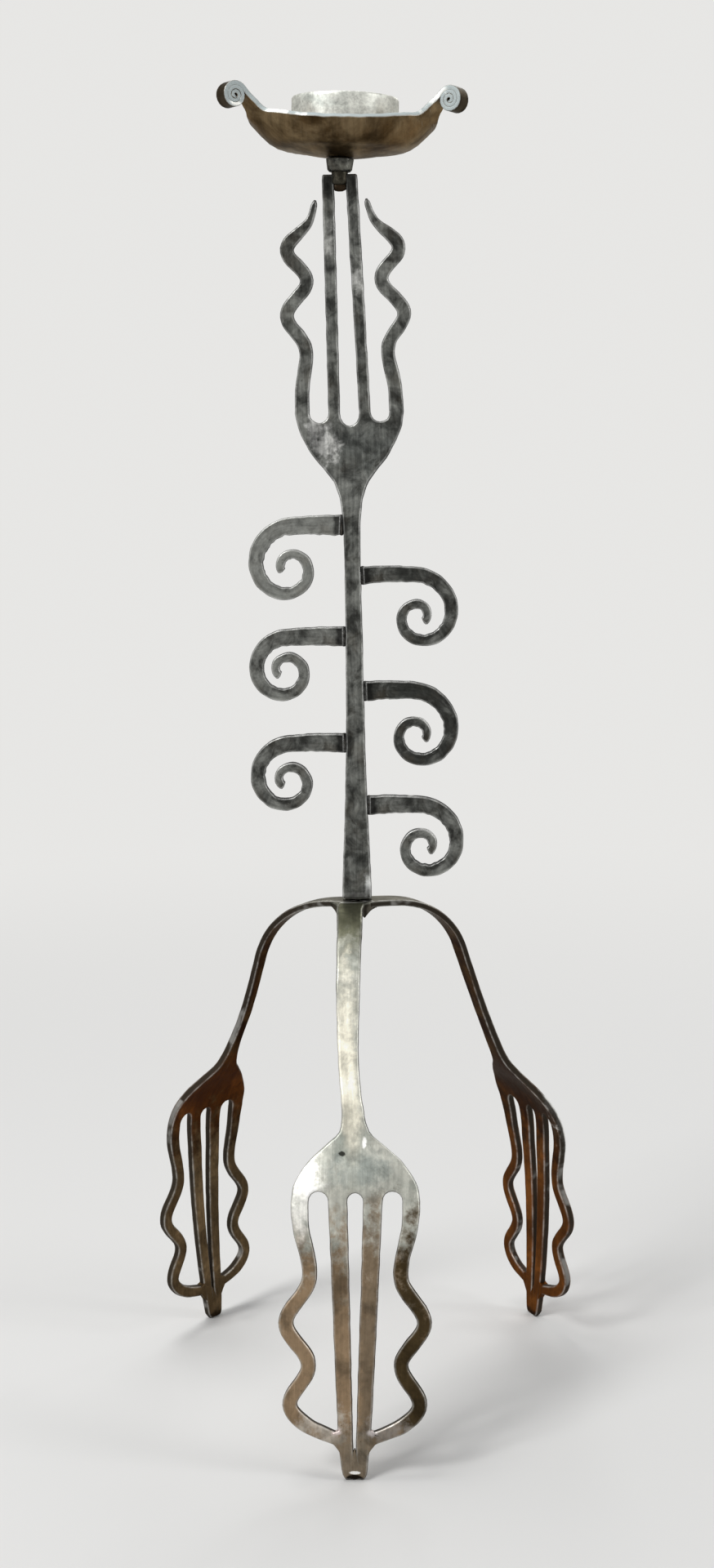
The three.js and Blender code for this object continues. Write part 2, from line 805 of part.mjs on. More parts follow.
// Scrolls and the beads that join them to the handle's edges
for (const [name, scroll] of Object.entries(scrolls)) {
  const edge = scroll.side * stemHalf(scroll.height) + stemDrift(scroll.height);
  const barEnd = edge + scroll.side * scrollWeldWidth;
  const middle = stemFoot + scroll.height;
  const halfDepth = scrollThickness / 2;

  const stations = curlPath(scroll, 3, 40);
  const rings = stations.map(({ x, y, heading: bent }, i) => {
    const share = i / (stations.length - 1);
    const heading = i === 0 ? 0 : bent;
    const rounded = share > 0.99 ? 0.6 : 1;
    const half = (THREE.MathUtils.lerp(scroll.bar, scrollTip, share) / 2) * rounded;
    const across = (w, depth) => new THREE.Vector3(
      barEnd + scroll.side * (x - Math.sin(heading) * w),
      depth,
      middle + y + Math.cos(heading) * w,
    );
    return rectangle(across, -half, half, -halfDepth, halfDepth);
  });
  addPiece(stand, `scroll_${name}`, loft(rings), darkSteel());

  const bead = [
    { x: edge + scroll.side * weldGap * 2, half: scroll.bar * 0.5, depth: halfDepth * 0.86 },
    { x: edge + scroll.side * scrollWeldWidth * 0.6, half: scroll.bar * 0.46, depth: halfDepth * 0.86 },
    { x: barEnd - scroll.side * weldGap, half: scroll.bar * 0.48, depth: halfDepth * 0.86 },
  ];
  addPiece(stand, `scroll_weld_${name}`, loft(bead.map(({ x, half, depth }) => (
    rectangle((z, y) => new THREE.Vector3(x, y, middle + z), -half, half, -depth, depth)
  ))), weldMetal());
}

// Heights in the head, from the tine tops up
const panUnder = collarLift + collarHeight + weldGap;
const panUnderAt = (r) => panUnder + r ** 2 / (2 * panCurve);
const cupFoot = panUnderAt(cupRadius) + panSheet + restGap;
const cupFloorTop = cupFoot + cupFloor;
const nutFoot = cupFloorTop + weldGap;
const studTop = nutFoot + nutHeight + studStandOut;

function turned(profile, segments) {
  const points = profile.map(([r, z]) => new THREE.Vector2(r, z));
  const geometry = new THREE.LatheGeometry(points, segments);
  geometry.rotateX(Math.PI / 2);
  return geometry;
}

addPiece(head, 'pan_stud', turned([
  [0, -studSeat],
  [studRadius - 0.5, -studSeat],
  [studRadius, -studSeat + 0.5],
  [studRadius, studTop - 0.4],
  [studRadius - 0.4, studTop],
  [0, studTop],
], 24), darkSteel());

const bore = studRadius + boreClearance;
const cupBore = bore + cupOffCentre;
addPiece(head, 'collar', turned([
  [bore, collarLift],
  [collarFoot - collarChamfer, collarLift],
  [collarFoot, collarLift + collarChamfer],
  [collarTop, collarLift + collarHeight],
  [bore, collarLift + collarHeight],
  [bore, collarLift],
], 24), darkSteel());

const cup = turned([
  [cupBore, cupFoot],
  [cupRadius - cupChamfer, cupFoot],
  [cupRadius, cupFoot + cupChamfer],
  [cupRadius, cupFoot + cupHeight - cupChamfer],
  [cupRadius - cupChamfer, cupFoot + cupHeight],
  [cupRadius - cupWall + cupChamfer * 0.6, cupFoot + cupHeight],
  [cupRadius - cupWall, cupFoot + cupHeight - cupChamfer * 0.6],
  [cupRadius - cupWall, cupFloorTop],
  [cupBore, cupFloorTop],
  [cupBore, cupFoot],
], 48);
cup.translate(cupOffCentre, 0, 0);
addPiece(head, 'candle_cup', cup, brightSteel());

// Hexagonal nut with its corners chamfered by a turned blank
function nutGeometry() {
  const acrossCorners = nutAcrossFlats / Math.cos(rad(30)) / 2;
  const prism = new THREE.CylinderGeometry(acrossCorners, acrossCorners, nutHeight, 6);
  prism.rotateX(Math.PI / 2);
  prism.translate(0, 0, nutFoot + nutHeight / 2);
  const chamfer = 0.5;
  const blank = turned([
    [bore, nutFoot - 1],
    [acrossCorners + 1, nutFoot - 1],
    [acrossCorners + 1, nutFoot + nutHeight - chamfer - 0.4],
    [acrossCorners - chamfer, nutFoot + nutHeight],
    [acrossCorners - chamfer, nutFoot + nutHeight + 1],
    [bore, nutFoot + nutHeight + 1],
    [bore, nutFoot - 1],
  ], 24);
  return fromSolid(toSolid(prism).intersect(toSolid(blank)));
}
addPiece(head, 'cup_nut', nutGeometry(), darkSteel());

// Pan: a spherical dish with a raised lip, cut three-cornered
const cornerAngles = [-30, -150, 90].map((angle) => angle + panTurn);

function cornerShare(angle) {
  const apart = cornerAngles.map((corner) => {
    const turn = Math.abs(THREE.MathUtils.euclideanModulo(angle - corner + 180, 360) - 180);
    return Math.max(0, 1 - turn / 60);
  });
  return Math.max(...apart) ** 2;
}

function panRim(share) {
  return THREE.MathUtils.lerp(panHalfSide, panCorner, share);
}

function panHeight(r, share) {
  const lip = Math.max(0, (r - lipStart) / (panRim(share) - lipStart)) ** 2;
  return panUnderAt(r) + THREE.MathUtils.lerp(panLip, panCornerLip, share) * lip;
}

function panSlope(r, share) {
  const step = 0.1;
  return Math.atan((panHeight(r + step, share) - panHeight(r - step, share)) / (2 * step));
}

function panGeometry() {
  const around = 60;
  const dishRadii = [bore, 8, cupRadius];
  const lipShares = [0.3, 0.6, 0.8, 1];
  const points = [];
  const triangles = [];
  for (let i = 0; i < around; i++) {
    const angle = (360 / around) * i + panTurn;
    const share = cornerShare(angle);
    const radii = [...dishRadii, ...lipShares.map((f) => THREE.MathUtils.lerp(lipStart, panRim(share), f))];
    const rows = radii.map((r) => {
      const tilt = r === bore ? 0 : panSlope(r, share);
      const z = panHeight(r, share);
      return { under: [r, z], over: [r - panSheet * Math.sin(tilt), z + panSheet * Math.cos(tilt)] };
    });
    const profile = [...rows.map(({ under }) => under), ...rows.map(({ over }) => over).reverse()];
    for (const [r, z] of profile) {
      const centre = r === bore ? 0 : panOffCentre;
      points.push(new THREE.Vector3(centre + r * Math.cos(rad(angle)), r * Math.sin(rad(angle)), z));
    }
  }
  const count = (dishRadii.length + lipShares.length) * 2;
  for (let i = 0; i < around; i++) {
    const a = i * count;
    const b = ((i + 1) % around) * count;
    for (let k = 0; k < count; k++) {
      const next = (k + 1) % count;
      triangles.push([a + k, b + k, b + next], [a + k, b + next, a + next]);
    }
  }
  let solid = toSolid(closedGeometry(points, triangles));
  for (const angle of cornerAngles) {
    solid = solid.add(toSolid(cornerRollGeometry(angle)));
  }
  return fromSolid(solid);
}

// Tongue drawn out of a corner and rolled up outwards
function cornerRollGeometry(angle) {
  const slope = panSlope(tongueStart, 1);
  const tongue = { run: tongueRun, rise: 0, open: rollRadius, close: rollEnd, ease: 1, turn: rollTurn };
  const startRadius = tongueStart - (panSheet / 2) * Math.sin(slope);
  const startHeight = panHeight(tongueStart, 1) + (panSheet / 2) * Math.cos(slope);
  const stations = curlPath(tongue, 4, 30);
  const rings = stations.map(({ x, y, heading }, i) => {
    const share = i / (stations.length - 1);
    const thin = i === 0 ? 0.6 : THREE.MathUtils.lerp(1, rollCentreSheet, share);
    const half = (panSheet / 2) * thin;
    const wide = THREE.MathUtils.lerp(rollWidth * 1.3, rollWidth, Math.min(1, i / 4)) / 2;
    const corner = (w, side) => {
      const px = x - Math.sin(heading) * w;
      const py = y + Math.cos(heading) * w;
      const point = new THREE.Vector3(
        startRadius + px * Math.cos(slope) - py * Math.sin(slope),
        side,
        startHeight + px * Math.sin(slope) + py * Math.cos(slope),
      );
      point.applyAxisAngle(new THREE.Vector3(0, 0, 1), rad(angle));
      point.x += panOffCentre;
      return point;
    };
    return rectangle(corner, -half, half, -wide, wide);
  });
  return loft(rings);
}
addPiece(head, 'drip_pan', panGeometry(), brownSteel());

// Braze that fills the gap between the centre tines under the pin
function studBrazeGeometry() {
  const drop = studSeat + restGap * 2;
  const half = stemTopGap / 2 - weldGap;
  const depth = stemThickness / 2 - 0.15;
  const rings = [[drop, 1], [drop + studBrazeHeight * 0.5, 1], [drop + studBrazeHeight, 0.55]];
  return loft(rings.map(([down, share]) => (
    rectangle((u, n) => stemPlace(u, stemEnd - down, n), -half, half, -depth * share, depth * share)
  )));
}
addPiece(stand, 'stud_braze', studBrazeGeometry(), weldMetal());

// The origin is on the ground in the middle of the stand's footprint
const footprint = new THREE.Box3().setFromObject(stand, true);
const middle = footprint.getCenter(new THREE.Vector3());
stand.position.set(-middle.x, -middle.y, 0);

const group = new THREE.Group();
group.add(stand);

export default group;
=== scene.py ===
# Candle stand welded up from four steel table forks, in the order in which the real one goes together
import math

import bmesh
import bpy
from mathutils import Matrix, Vector, geometry, noise


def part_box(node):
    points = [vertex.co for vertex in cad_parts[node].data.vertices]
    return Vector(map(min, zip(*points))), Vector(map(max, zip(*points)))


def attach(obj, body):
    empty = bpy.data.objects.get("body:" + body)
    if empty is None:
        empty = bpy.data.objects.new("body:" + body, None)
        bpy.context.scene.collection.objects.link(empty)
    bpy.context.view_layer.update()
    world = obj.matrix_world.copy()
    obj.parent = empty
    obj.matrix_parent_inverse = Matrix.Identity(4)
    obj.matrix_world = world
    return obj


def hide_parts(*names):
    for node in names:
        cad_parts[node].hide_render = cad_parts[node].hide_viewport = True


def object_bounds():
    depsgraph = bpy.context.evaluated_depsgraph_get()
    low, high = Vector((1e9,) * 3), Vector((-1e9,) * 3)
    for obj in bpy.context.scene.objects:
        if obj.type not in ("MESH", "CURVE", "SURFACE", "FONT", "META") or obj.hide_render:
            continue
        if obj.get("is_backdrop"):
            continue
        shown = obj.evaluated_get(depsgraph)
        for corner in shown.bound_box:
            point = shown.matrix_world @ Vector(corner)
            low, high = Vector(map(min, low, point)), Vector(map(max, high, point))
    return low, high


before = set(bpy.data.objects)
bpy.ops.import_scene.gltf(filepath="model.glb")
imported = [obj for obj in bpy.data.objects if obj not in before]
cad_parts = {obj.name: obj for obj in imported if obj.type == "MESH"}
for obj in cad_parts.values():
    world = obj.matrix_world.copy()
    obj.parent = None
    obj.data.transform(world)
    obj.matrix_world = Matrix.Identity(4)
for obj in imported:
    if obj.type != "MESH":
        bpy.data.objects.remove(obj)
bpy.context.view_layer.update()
MM = 0.001

# Legs
# Three table forks, each cut and filed to its outline, its two outer tines bent into waves, then bent
# into an arch from the apex down to the foot. Satin stainless steel, scratched and lighter on the front leg,
# with painted highlights and shade, browner on the two rear legs, where the brown is a painted reflection
# of a wooden table. The handles are mitred together at the apex.
LEG_THICK = 2.3
STRAP_THICK = 1.9
APEX_HEIGHT = 143.6
CROWN_TURN = 6.5
NECK_RUN = 8.5
BOWL_RUN = 20.5
TINE_RUN = 64.5
TINE_TURN = 6
LEG_DISH = 1.3
STRAP_HALVES = (3.9, 3.25, 2.8)
LEG_NECK_HALF = 4.1
LEG_SHOULDER_HALF = 12.6
LEG_BOWL_HALF = 17.4
LEG_GAP = 5.3
LEG_CENTRE_GAP = 4.3
LEG_CENTRE_TINE = 5.15
FOOT_GAP = 1.0
FOOT_TINE = 2.55
FOOT_FLAT = 1.3
FOOT_BEVEL = 1.8
FOOT_WAIST = 11.0
FOOT_CORNER = ((0.25, 0.6), (0.6, 0.15), (1.2, 0))
LEG_ROUND = 0.72
WAIST_TINE = 3.8
WAVE_TINE = 4.0
WAVE_TIP = 3.4
TIP_EDGE = 4.85
STRAP_START = 7
RIM_MIDDLE = 0.32
BRAZE_HEIGHT = 11.2
LEG_WAVE = [(-0.4, 7), (-2.8, 20.5), (3.7, 32), (-2.8, 43), (2.5, 53.2), (-1.6, 58.9)]
LEG_WAVE_SPREAD = [0, 0.5, 1, 1, 1, 0.5]
# Each leg's way, the flat, round and bent runs of its arch, and what the maker's hand left: how wide and slim
# it is, how far its waves spread, its twist, and its sideways drift at strap, neck, tine roots and foot
LEGS = {
    "front": dict(
        angle=-90, crown=10.5, radius=25.4, arch=65.5, kink=-11, bowl=15.6, bowl_root=19.5,
        width=1, slim=1, spread=0, twist=0, drift=(-1.2, 0.3, 0.7, -0.3), start=(-1.0, -1.8),
    ),
    "rear_left": dict(
        angle=150, crown=10.2, radius=28.2, arch=64.9, kink=-14.2, bowl=23.5, bowl_root=20.8,
        width=0.91, slim=0.73, spread=0.5, twist=6, drift=(2.3, 5.5, 5.9, -6.0), start=(0, 0),
    ),
    "rear_right": dict(
        angle=30, crown=12.7, radius=23.9, arch=64.4, kink=-15.8, bowl=25.8, bowl_root=20.7,
        width=0.99, slim=1, spread=-0.1, twist=1.2, drift=(-1.2, -2.8, -5.3, 8.6), start=(0, 0),
    ),
}

weld_low, weld_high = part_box("apex_weld")
axis_place = Matrix.Translation((Vector(weld_low) + Vector(weld_high)) / 2 / MM)
axis_place.translation.z = 0


def bent_path(bends):
    """Path of a blank bent by (run, turn) arcs: along the first direction, turning down."""
    starts = []
    done = along = up = heading = 0.0
    for run, turn in bends:
        curve = math.radians(turn) / run if turn else 0.0
        starts.append((done, along, up, heading, curve))
        along, up, heading = arc_end(along, up, heading, curve, run)
        done += run

    def at(s):
        start = [piece for piece in starts if piece[0] <= s] or starts[:1]
        done_here, x, y, way, curve_here = start[-1]
        return arc_end(x, y, way, curve_here, s - done_here)

    return at, done


def arc_end(along, up, heading, curve, run):
    turned = heading + curve * run
    if abs(curve * run) < 1e-9:
        return along + run * math.cos(heading), up - run * math.sin(heading), heading
    return (
        along + (math.sin(turned) - math.sin(heading)) / curve,
        up + (math.cos(turned) - math.cos(heading)) / curve,
        turned,
    )


def smooth_through(pairs):
    """Smooth curve of a size along a blank, through a few (distance, size) pairs."""

    def slope(k):
        before, after = pairs[max(k - 1, 0)], pairs[min(k + 1, len(pairs) - 1)]
        return (after[1] - before[1]) / (after[0] - before[0])

    def at(s):
        if s <= pairs[0][0]:
            return pairs[0][1]
        if s >= pairs[-1][0]:
            return pairs[-1][1]
        i = max(k for k in range(len(pairs) - 1) if pairs[k][0] <= s)
        (s0, v0), (s1, v1) = pairs[i], pairs[i + 1]
        span = s1 - s0
        t = (s - s0) / span
        keep = 2 * t**3 - 3 * t**2 + 1
        return (
            keep * v0
            + (t**3 - 2 * t**2 + t) * span * slope(i)
            + (1 - keep) * v1
            + (t**3 - t**2) * span * slope(i + 1)
        )

    return at


def ease(low, high, value):
    t = min(1.0, max(0.0, (value - low) / (high - low)))
    return t * t * (3 - 2 * t)


def mix(a, b, t):
    return a + (b - a) * t


def spaced(start, stop, steps):
    return [start + (stop - start) * i / steps for i in range(steps + 1)]


def waved_edges(points, width_at, steps=84, stiff=1.3):
    """Inner and outer edge of a waved tine, from its root, along a smooth line through its points."""
    points = [Vector(p) for p in points]
    ends = [points[0]] + points + [points[-1]]
    line = []
    for a, b, c, d in zip(ends, ends[1:], ends[2:], ends[3:]):
        line += geometry.interpolate_bezier(b, b + (c - a) / 6, c - (d - b) / 6, c, 16)[:-1]
    line.append(points[-1])
    line = evenly_along(line, 240)
    reach = round(stiff / (line[1] - line[0]).length)
    for _ in range(2):
        windows = [min(k, len(line) - 1 - k, reach) for k in range(len(line))]
        line = [sum(line[k - n:k + n + 1], Vector((0, 0))) / (2 * n + 1) for k, n in enumerate(windows)]
    line = evenly_along(line, steps)
    first, second = [], []
    for k, middle in enumerate(line):
        ahead = (line[min(k + 1, steps)] - line[max(k - 1, 0)]).normalized()
        across = Vector((-ahead.y, ahead.x)) * width_at(k / steps) / 2
        first.append(middle + across)
        second.append(middle - across)
    return (second, first) if second[0].x < first[0].x else (first, second)


def evenly_along(line, steps):
    """The same line with its points an even distance apart."""
    lengths = [0.0]
    for a, b in zip(line, line[1:]):
        lengths.append(lengths[-1] + (b - a).length)
    even = []
    k = 0
    for want in spaced(0, lengths[-1], steps):
        while k < len(line) - 2 and lengths[k + 1] < want:
            k += 1
        even.append(line[k].lerp(line[k + 1], (want - lengths[k]) / max(lengths[k + 1] - lengths[k], 1e-9)))
    return even


def round_gap(right, left, root, drop, steps=8):
    """Round end of the gap between two tines, from its right side to its left."""
    radius, centre = (right - left) / 2, (right + left) / 2
    angles = [math.pi * i / steps for i in range(1, steps)]
    return [Vector((centre + radius * math.cos(a), root - (radius + drop) * math.sin(a))) for a in angles]


def hand_filed(outline, seed, amount, scale):
    """An outline with the small unevenness that hand filing leaves."""
    shift = Vector((seed * 7.3, seed * 3.1, 0))
    return [
        p + amount * Vector((noise.noise(p.to_3d() * scale + shift), noise.noise(p.to_3d() * scale - shift)))
        for p in outline
    ]


def cut_blank(outline, thick, round_over, across_cuts, along_cuts, segments=3):
    """Flat blank cut from plate, its rims rounded over, sliced so that it can bend. x across, y along."""
    bm = bmesh.new()
    corners = [bm.verts.new((p.x, p.y, -thick / 2)) for p in outline]
    under = bm.faces.new(corners)
    rise = bmesh.ops.extrude_face_region(bm, geom=[under])["geom"]
    bmesh.ops.translate(bm, verts=[g for g in rise if isinstance(g, bmesh.types.BMVert)], vec=(0, 0, thick))
    bmesh.ops.recalc_face_normals(bm, faces=bm.faces)
    rims = [e for e in bm.edges if abs(e.verts[0].co.z - e.verts[1].co.z) < thick / 2]
    bmesh.ops.bevel(
        bm, geom=rims, offset=round_over, offset_type="OFFSET", segments=segments, profile=0.5,
        affect="EDGES", material=-1, clamp_overlap=False,
    )
    cuts = [((0, s, 0), (0, 1, 0)) for s in along_cuts] + [((u, 0, 0), (1, 0, 0)) for u in across_cuts]
    for place, way in cuts:
        everything = bm.verts[:] + bm.edges[:] + bm.faces[:]
        bmesh.ops.bisect_plane(bm, geom=everything, dist=1e-4, plane_co=place, plane_no=way)
    blank = bm.verts.layers.float_vector.new("blank")
    rim = bm.verts.layers.float.new("rim")
    side = bm.verts.layers.float.new("side")
    for v in bm.verts:
        v[blank] = v.co * MM
        down = (thick / 2 - abs(v.co.z)) / round_over
        v[rim] = max(0.0, 1 - abs(down - RIM_MIDDLE) / RIM_MIDDLE)
        v[side] = min(1.0, max(0.0, (down - 0.3) / 0.5))
    return bm


def bend_blank(bm, place):
    for v in bm.verts:
        v.co = place(v.co.x, v.co.y, v.co.z)


def finish_piece(name, bm, material, nodes, move=Matrix()):
    """A piece from its bmesh in millimetres: placed, shaded, riding on the stand, in place of its nodes."""
    bmesh.ops.transform(bm, matrix=Matrix.Diagonal((MM, MM, MM, 1)) @ axis_place @ move, verts=bm.verts)
    bmesh.ops.recalc_face_normals(bm, faces=bm.faces)
    mesh = bpy.data.meshes.new(name)
    bm.to_mesh(mesh)
    bm.free()
    mesh.polygons.foreach_set("use_smooth", [True] * len(mesh.polygons))
    mesh.materials.append(material)
    piece = bpy.data.objects.new(name, mesh)
    bpy.context.scene.collection.objects.link(piece)
    weigh = piece.modifiers.new("weighted_normals", "WEIGHTED_NORMAL")
    weigh.weight = 80
    weigh.keep_sharp = True
    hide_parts(*nodes)
    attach(piece, "root")
    return piece


def leg_place(shape):
    """One leg's bends: its place function and the distances of its neck, tine roots and end."""
    turn = math.radians(CROWN_TURN + shape["arch"])
    arch_run = shape["radius"] * math.radians(shape["arch"])

    def bends(strap_run):
        return [
            (shape["crown"], CROWN_TURN),
            (arch_run, shape["arch"]),
            (strap_run, 0),
            (NECK_RUN, shape["kink"]),
            (BOWL_RUN, shape["bowl"]),
            (TINE_RUN, TINE_TURN),
        ]

    drop = APEX_HEIGHT - STRAP_THICK / 2
    bare, bare_length = bent_path(bends(1e-6))
    strap_run = (drop + bare(bare_length)[1]) / math.sin(turn)
    at, end = bent_path(bends(strap_run))
    neck = shape["crown"] + arch_run + strap_run
    root = neck + shape["bowl_root"]
    strap, at_neck, at_root, at_foot = shape["drift"]
    sideways = smooth_through(
        [(0, shape["start"][0]), (STRAP_START, shape["start"][1]), (22, strap), (neck - 18, strap)]
        + [(neck, at_neck), (root, at_root), (end, at_foot)]
    )

    def place(u, s, n):
        along, up, heading = at(s)
        thin = mix(STRAP_THICK, LEG_THICK, ease(neck * 0.5, neck, s)) / LEG_THICK
        if n > 0:
            bevelled = min(1.0, max(0.0, (s - end + FOOT_BEVEL) / FOOT_BEVEL))
            thin -= (LEG_THICK - FOOT_FLAT) / (LEG_THICK / 2) * bevelled
        swell = math.sin(math.pi * min(1.0, max(0.0, (s - neck + 4) / (root + 12 - neck + 4)))) ** 2
        flat = n * thin + LEG_DISH * swell * max(0.0, 1 - (u / LEG_BOWL_HALF) ** 2)
        turned = math.radians(shape["twist"]) * ease(shape["crown"], neck, s)
        across = u * shape["width"] * math.cos(turned) - flat * math.sin(turned)
        out = u * shape["width"] * math.sin(turned) + flat * math.cos(turned)
        point = Vector((
            along + out * math.sin(heading),
            across + sideways(s),
            drop + up + out * math.cos(heading),
        ))
        point.z = max(point.z, 0.0) if s < end - 0.01 else 0.0
        return point

    return place, neck, root, end


def leg_outline(shape, neck, root, end):
    """Outline of a leg's blank: mitred handle, bowl, two straight tines and two waved ones."""
    slim = shape["slim"]
    apex_half, middle_half, narrow_half = STRAP_HALVES
    mitre = (apex_half * 0.5 + 0.15) / math.sin(math.radians(60))
    half = smooth_through([
        (mitre, apex_half),
        (mitre + 12, (apex_half + middle_half) / 2 * slim**0.5),
        (neck * 0.5, middle_half * slim),
        (neck * 0.76, narrow_half * slim),
        (neck - 6, narrow_half * 1.05 * slim),
        (neck + 1, LEG_NECK_HALF),
        (neck + 5, (LEG_NECK_HALF + LEG_SHOULDER_HALF) / 2),
        (neck + 9, LEG_SHOULDER_HALF),
        (neck + 14.5, LEG_BOWL_HALF * 0.94),
        (root, LEG_BOWL_HALF),
    ])
    inner = LEG_CENTRE_GAP / 2
    outer = inner + LEG_CENTRE_TINE
    wave_inner = outer + LEG_GAP
    middle = (wave_inner + LEG_BOWL_HALF) / 2
    spread = shape["spread"]
    wave = [(middle, root)]
    wave += [(middle + u + spread * share, root + s) for (u, s), share in zip(LEG_WAVE, LEG_WAVE_SPREAD)]
    wave.append((TIP_EDGE, end - BRAZE_HEIGHT))
    full = LEG_BOWL_HALF - wave_inner

    def width_at(t):
        shoulder = (full - WAVE_TINE) * max(0.0, 1 - 5 * t)
        return WAVE_TINE + shoulder + (WAVE_TIP - WAVE_TINE) * ease(0.85, 1, t)

    inside, outside = waved_edges(wave, width_at)
    for line in (inside, outside):
        ahead = line[-1] - line[-2]
        line[-1] += ahead * ((TIP_EDGE - line[-1].x) / ahead.x)
    right = [Vector((half(s), s)) for s in spaced(mitre, root, 70)[:-1]]
    right += outside + inside[::-1]
    right += round_gap(wave_inner, outer, root, 0)
    waist = end - FOOT_WAIST
    far = smooth_through([(root, outer), (waist, FOOT_GAP / 2 + WAIST_TINE), (end, FOOT_GAP / 2 + FOOT_TINE)])
    near = smooth_through([(root, inner), (waist, FOOT_GAP * 0.42), (end, FOOT_GAP * 0.2)])
    steps = spaced(root, end, 48)
    right += [Vector((far(s), s)) for s in steps[:-1]]
    right += [Vector((far(end) - inset, end - back)) for inset, back in FOOT_CORNER]
    right += [Vector((near(s), s)) for s in reversed(steps)]
    left = [Vector((-p.x, p.y)) for p in reversed(right)]
    tip = Vector((0, 0.35))
    return [tip] + right + round_gap(inner, -inner, root, 0) + left


# Worn steel, shared by every piece: mottled patina, brushed lines along the piece, small dark pits and fine
# pale scratches; the rims, rubbed bright and painted with highlights, come from the next group. It is fed
# with each piece's own tones.
def group_with(name, inputs, outputs):
    group = bpy.data.node_groups.new(name, "ShaderNodeTree")
    for kind, socket, value in inputs:
        made = group.interface.new_socket(socket, in_out="INPUT", socket_type="NodeSocket" + kind)
        if value is not None:
            made.default_value = value
    for kind, socket in outputs:
        group.interface.new_socket(socket, in_out="OUTPUT", socket_type="NodeSocket" + kind)
    return group, group.nodes.new("NodeGroupInput"), group.nodes.new("NodeGroupOutput")


class Wires:
    """Short hand for wiring a shader tree."""

    def __init__(self, tree):
        self.tree = tree

    def add(self, kind, links=(), **values):
        made = self.tree.nodes.new("ShaderNode" + kind)
        for key, value in values.items():
            setattr(made, key, value)
        for socket, source in dict(links).items():
            self.feed(made.inputs[socket], source)
        return made

    def feed(self, socket, source):
        if isinstance(source, bpy.types.NodeSocket):
            self.tree.links.new(source, socket)
        else:
            socket.default_value = source

    def noise(self, vector, scale, detail=4.0, rough=0.55, distort=0.0):
        made = self.add("TexNoise", {
            "Vector": vector, "Scale": scale, "Detail": detail, "Roughness": rough, "Distortion": distort,
        })
        return made.outputs["Fac"]

    def span(self, value, low, high, to_low=0.0, to_high=1.0):
        made = self.add("MapRange", {
            "Value": value, "From Min": low, "From Max": high, "To Min": to_low, "To Max": to_high,
        })
        made.interpolation_type = "SMOOTHSTEP"
        return made.outputs["Result"]

    def maths(self, operation, a, b=0.0):
        made = self.add("Math", {0: a, 1: b}, operation=operation)
        return made.outputs[0]

    def blend(self, share, a, b, mode="MIX"):
        made = self.add("Mix", data_type="RGBA", blend_type=mode)
        self.feed(made.inputs[0], share)
        self.feed(made.inputs[6], a)
        self.feed(made.inputs[7], b)
        return made.outputs[2]

    def grey(self, value):
        return self.add("CombineColor", {"Red": value, "Green": value, "Blue": value}).outputs[0]

    def stretch(self, vector, scale, turn=(0, 0, 0), move=(0, 0, 0)):
        made = self.add("Mapping", {"Vector": vector, "Scale": scale, "Rotation": turn, "Location": move})
        return made.outputs["Vector"]


steel, steel_in, steel_out = group_with(
    "Worn steel",
    [
        ("Vector", "Place", None),
        ("Color", "Dark", (0.1, 0.1, 0.1, 1)),
        ("Color", "Light", (0.5, 0.5, 0.5, 1)),
        ("Color", "Stain", (0.3, 0.25, 0.2, 1)),
        ("Float", "Patch size", 12.0),
        ("Float", "Light share", 0.5),
        ("Float", "Stain share", 0.3),
        ("Float", "Streaks", 0.4),
        ("Float", "Mottle", 0.3),
        ("Float", "Scratches", 0.3),
        ("Float", "Pits", 0.3),
        ("Color", "Scratch tone", (0.8, 0.8, 0.78, 1)),
    ],
    [("Color", "Color"), ("Color", "Detail"), ("Float", "Roughness"), ("Float", "Height")],
)
PIT_WANDER = (0.0014, 0.0014, 0.0014)
w = Wires(steel)
g = steel_in.outputs
per_metre = w.maths("DIVIDE", 1000.0, g["Patch size"])
patches = w.noise(g["Place"], per_metre, 5.0, 0.6, 0.5)
low_edge = w.maths("SUBTRACT", 0.82, w.maths("MULTIPLY", g["Light share"], 0.64))
light = w.span(patches, w.maths("SUBTRACT", low_edge, 0.2), w.maths("ADD", low_edge, 0.16))
skin = w.blend(light, g["Dark"], g["Light"])
cloud_place = w.stretch(g["Place"], (1, 1, 1), move=(0.3, 0.1, 0.7))
cloud = w.noise(cloud_place, w.maths("MULTIPLY", per_metre, 0.7), 4.0, 0.6, 0.3)
stain = w.maths("MULTIPLY", w.span(cloud, 0.48, 0.72), g["Stain share"])
skin = w.blend(stain, skin, g["Stain"])
streak = w.noise(w.stretch(g["Place"], (1300, 70, 1300)), 1.0, 5.0, 0.65, 0.3)
streak_tone = w.span(streak, 0.3, 0.7, -1.0, 1.0)
speck = w.noise(g["Place"], 700.0, 5.0, 0.7, 0.4)
speck_tone = w.span(speck, 0.3, 0.7, -1.0, 1.0)
blotch = w.noise(w.stretch(g["Place"], (1, 0.6, 1), move=(0.9, 0.4, 0.2)), 330.0, 5.0, 0.65, 0.8)
blotch_tone = w.span(blotch, 0.34, 0.66, -1.0, 1.0)
specks = w.maths("MULTIPLY", speck_tone, w.maths("MULTIPLY", g["Mottle"], 0.7))
shade = w.maths("ADD", w.maths("MULTIPLY", streak_tone, g["Streaks"]), specks)
shade = w.maths("ADD", shade, w.maths("MULTIPLY", blotch_tone, g["Mottle"]))
shade = w.maths("ADD", 1.0, w.maths("MULTIPLY", shade, 0.6))
skin = w.blend(1.0, skin, w.grey(shade), "MULTIPLY")
line = w.noise(w.stretch(g["Place"], (4200, 110, 4200), (0.2, 0, 0.5)), 1.0, 2.0, 0.5, 0.6)
where = w.span(w.noise(g["Place"], 120.0, 2.0), 0.5, 0.66)
lines = w.maths("MULTIPLY", w.maths("MULTIPLY", w.span(line, 0.66, 0.74), where), g["Scratches"])
skin = w.blend(lines, skin, g["Scratch tone"])
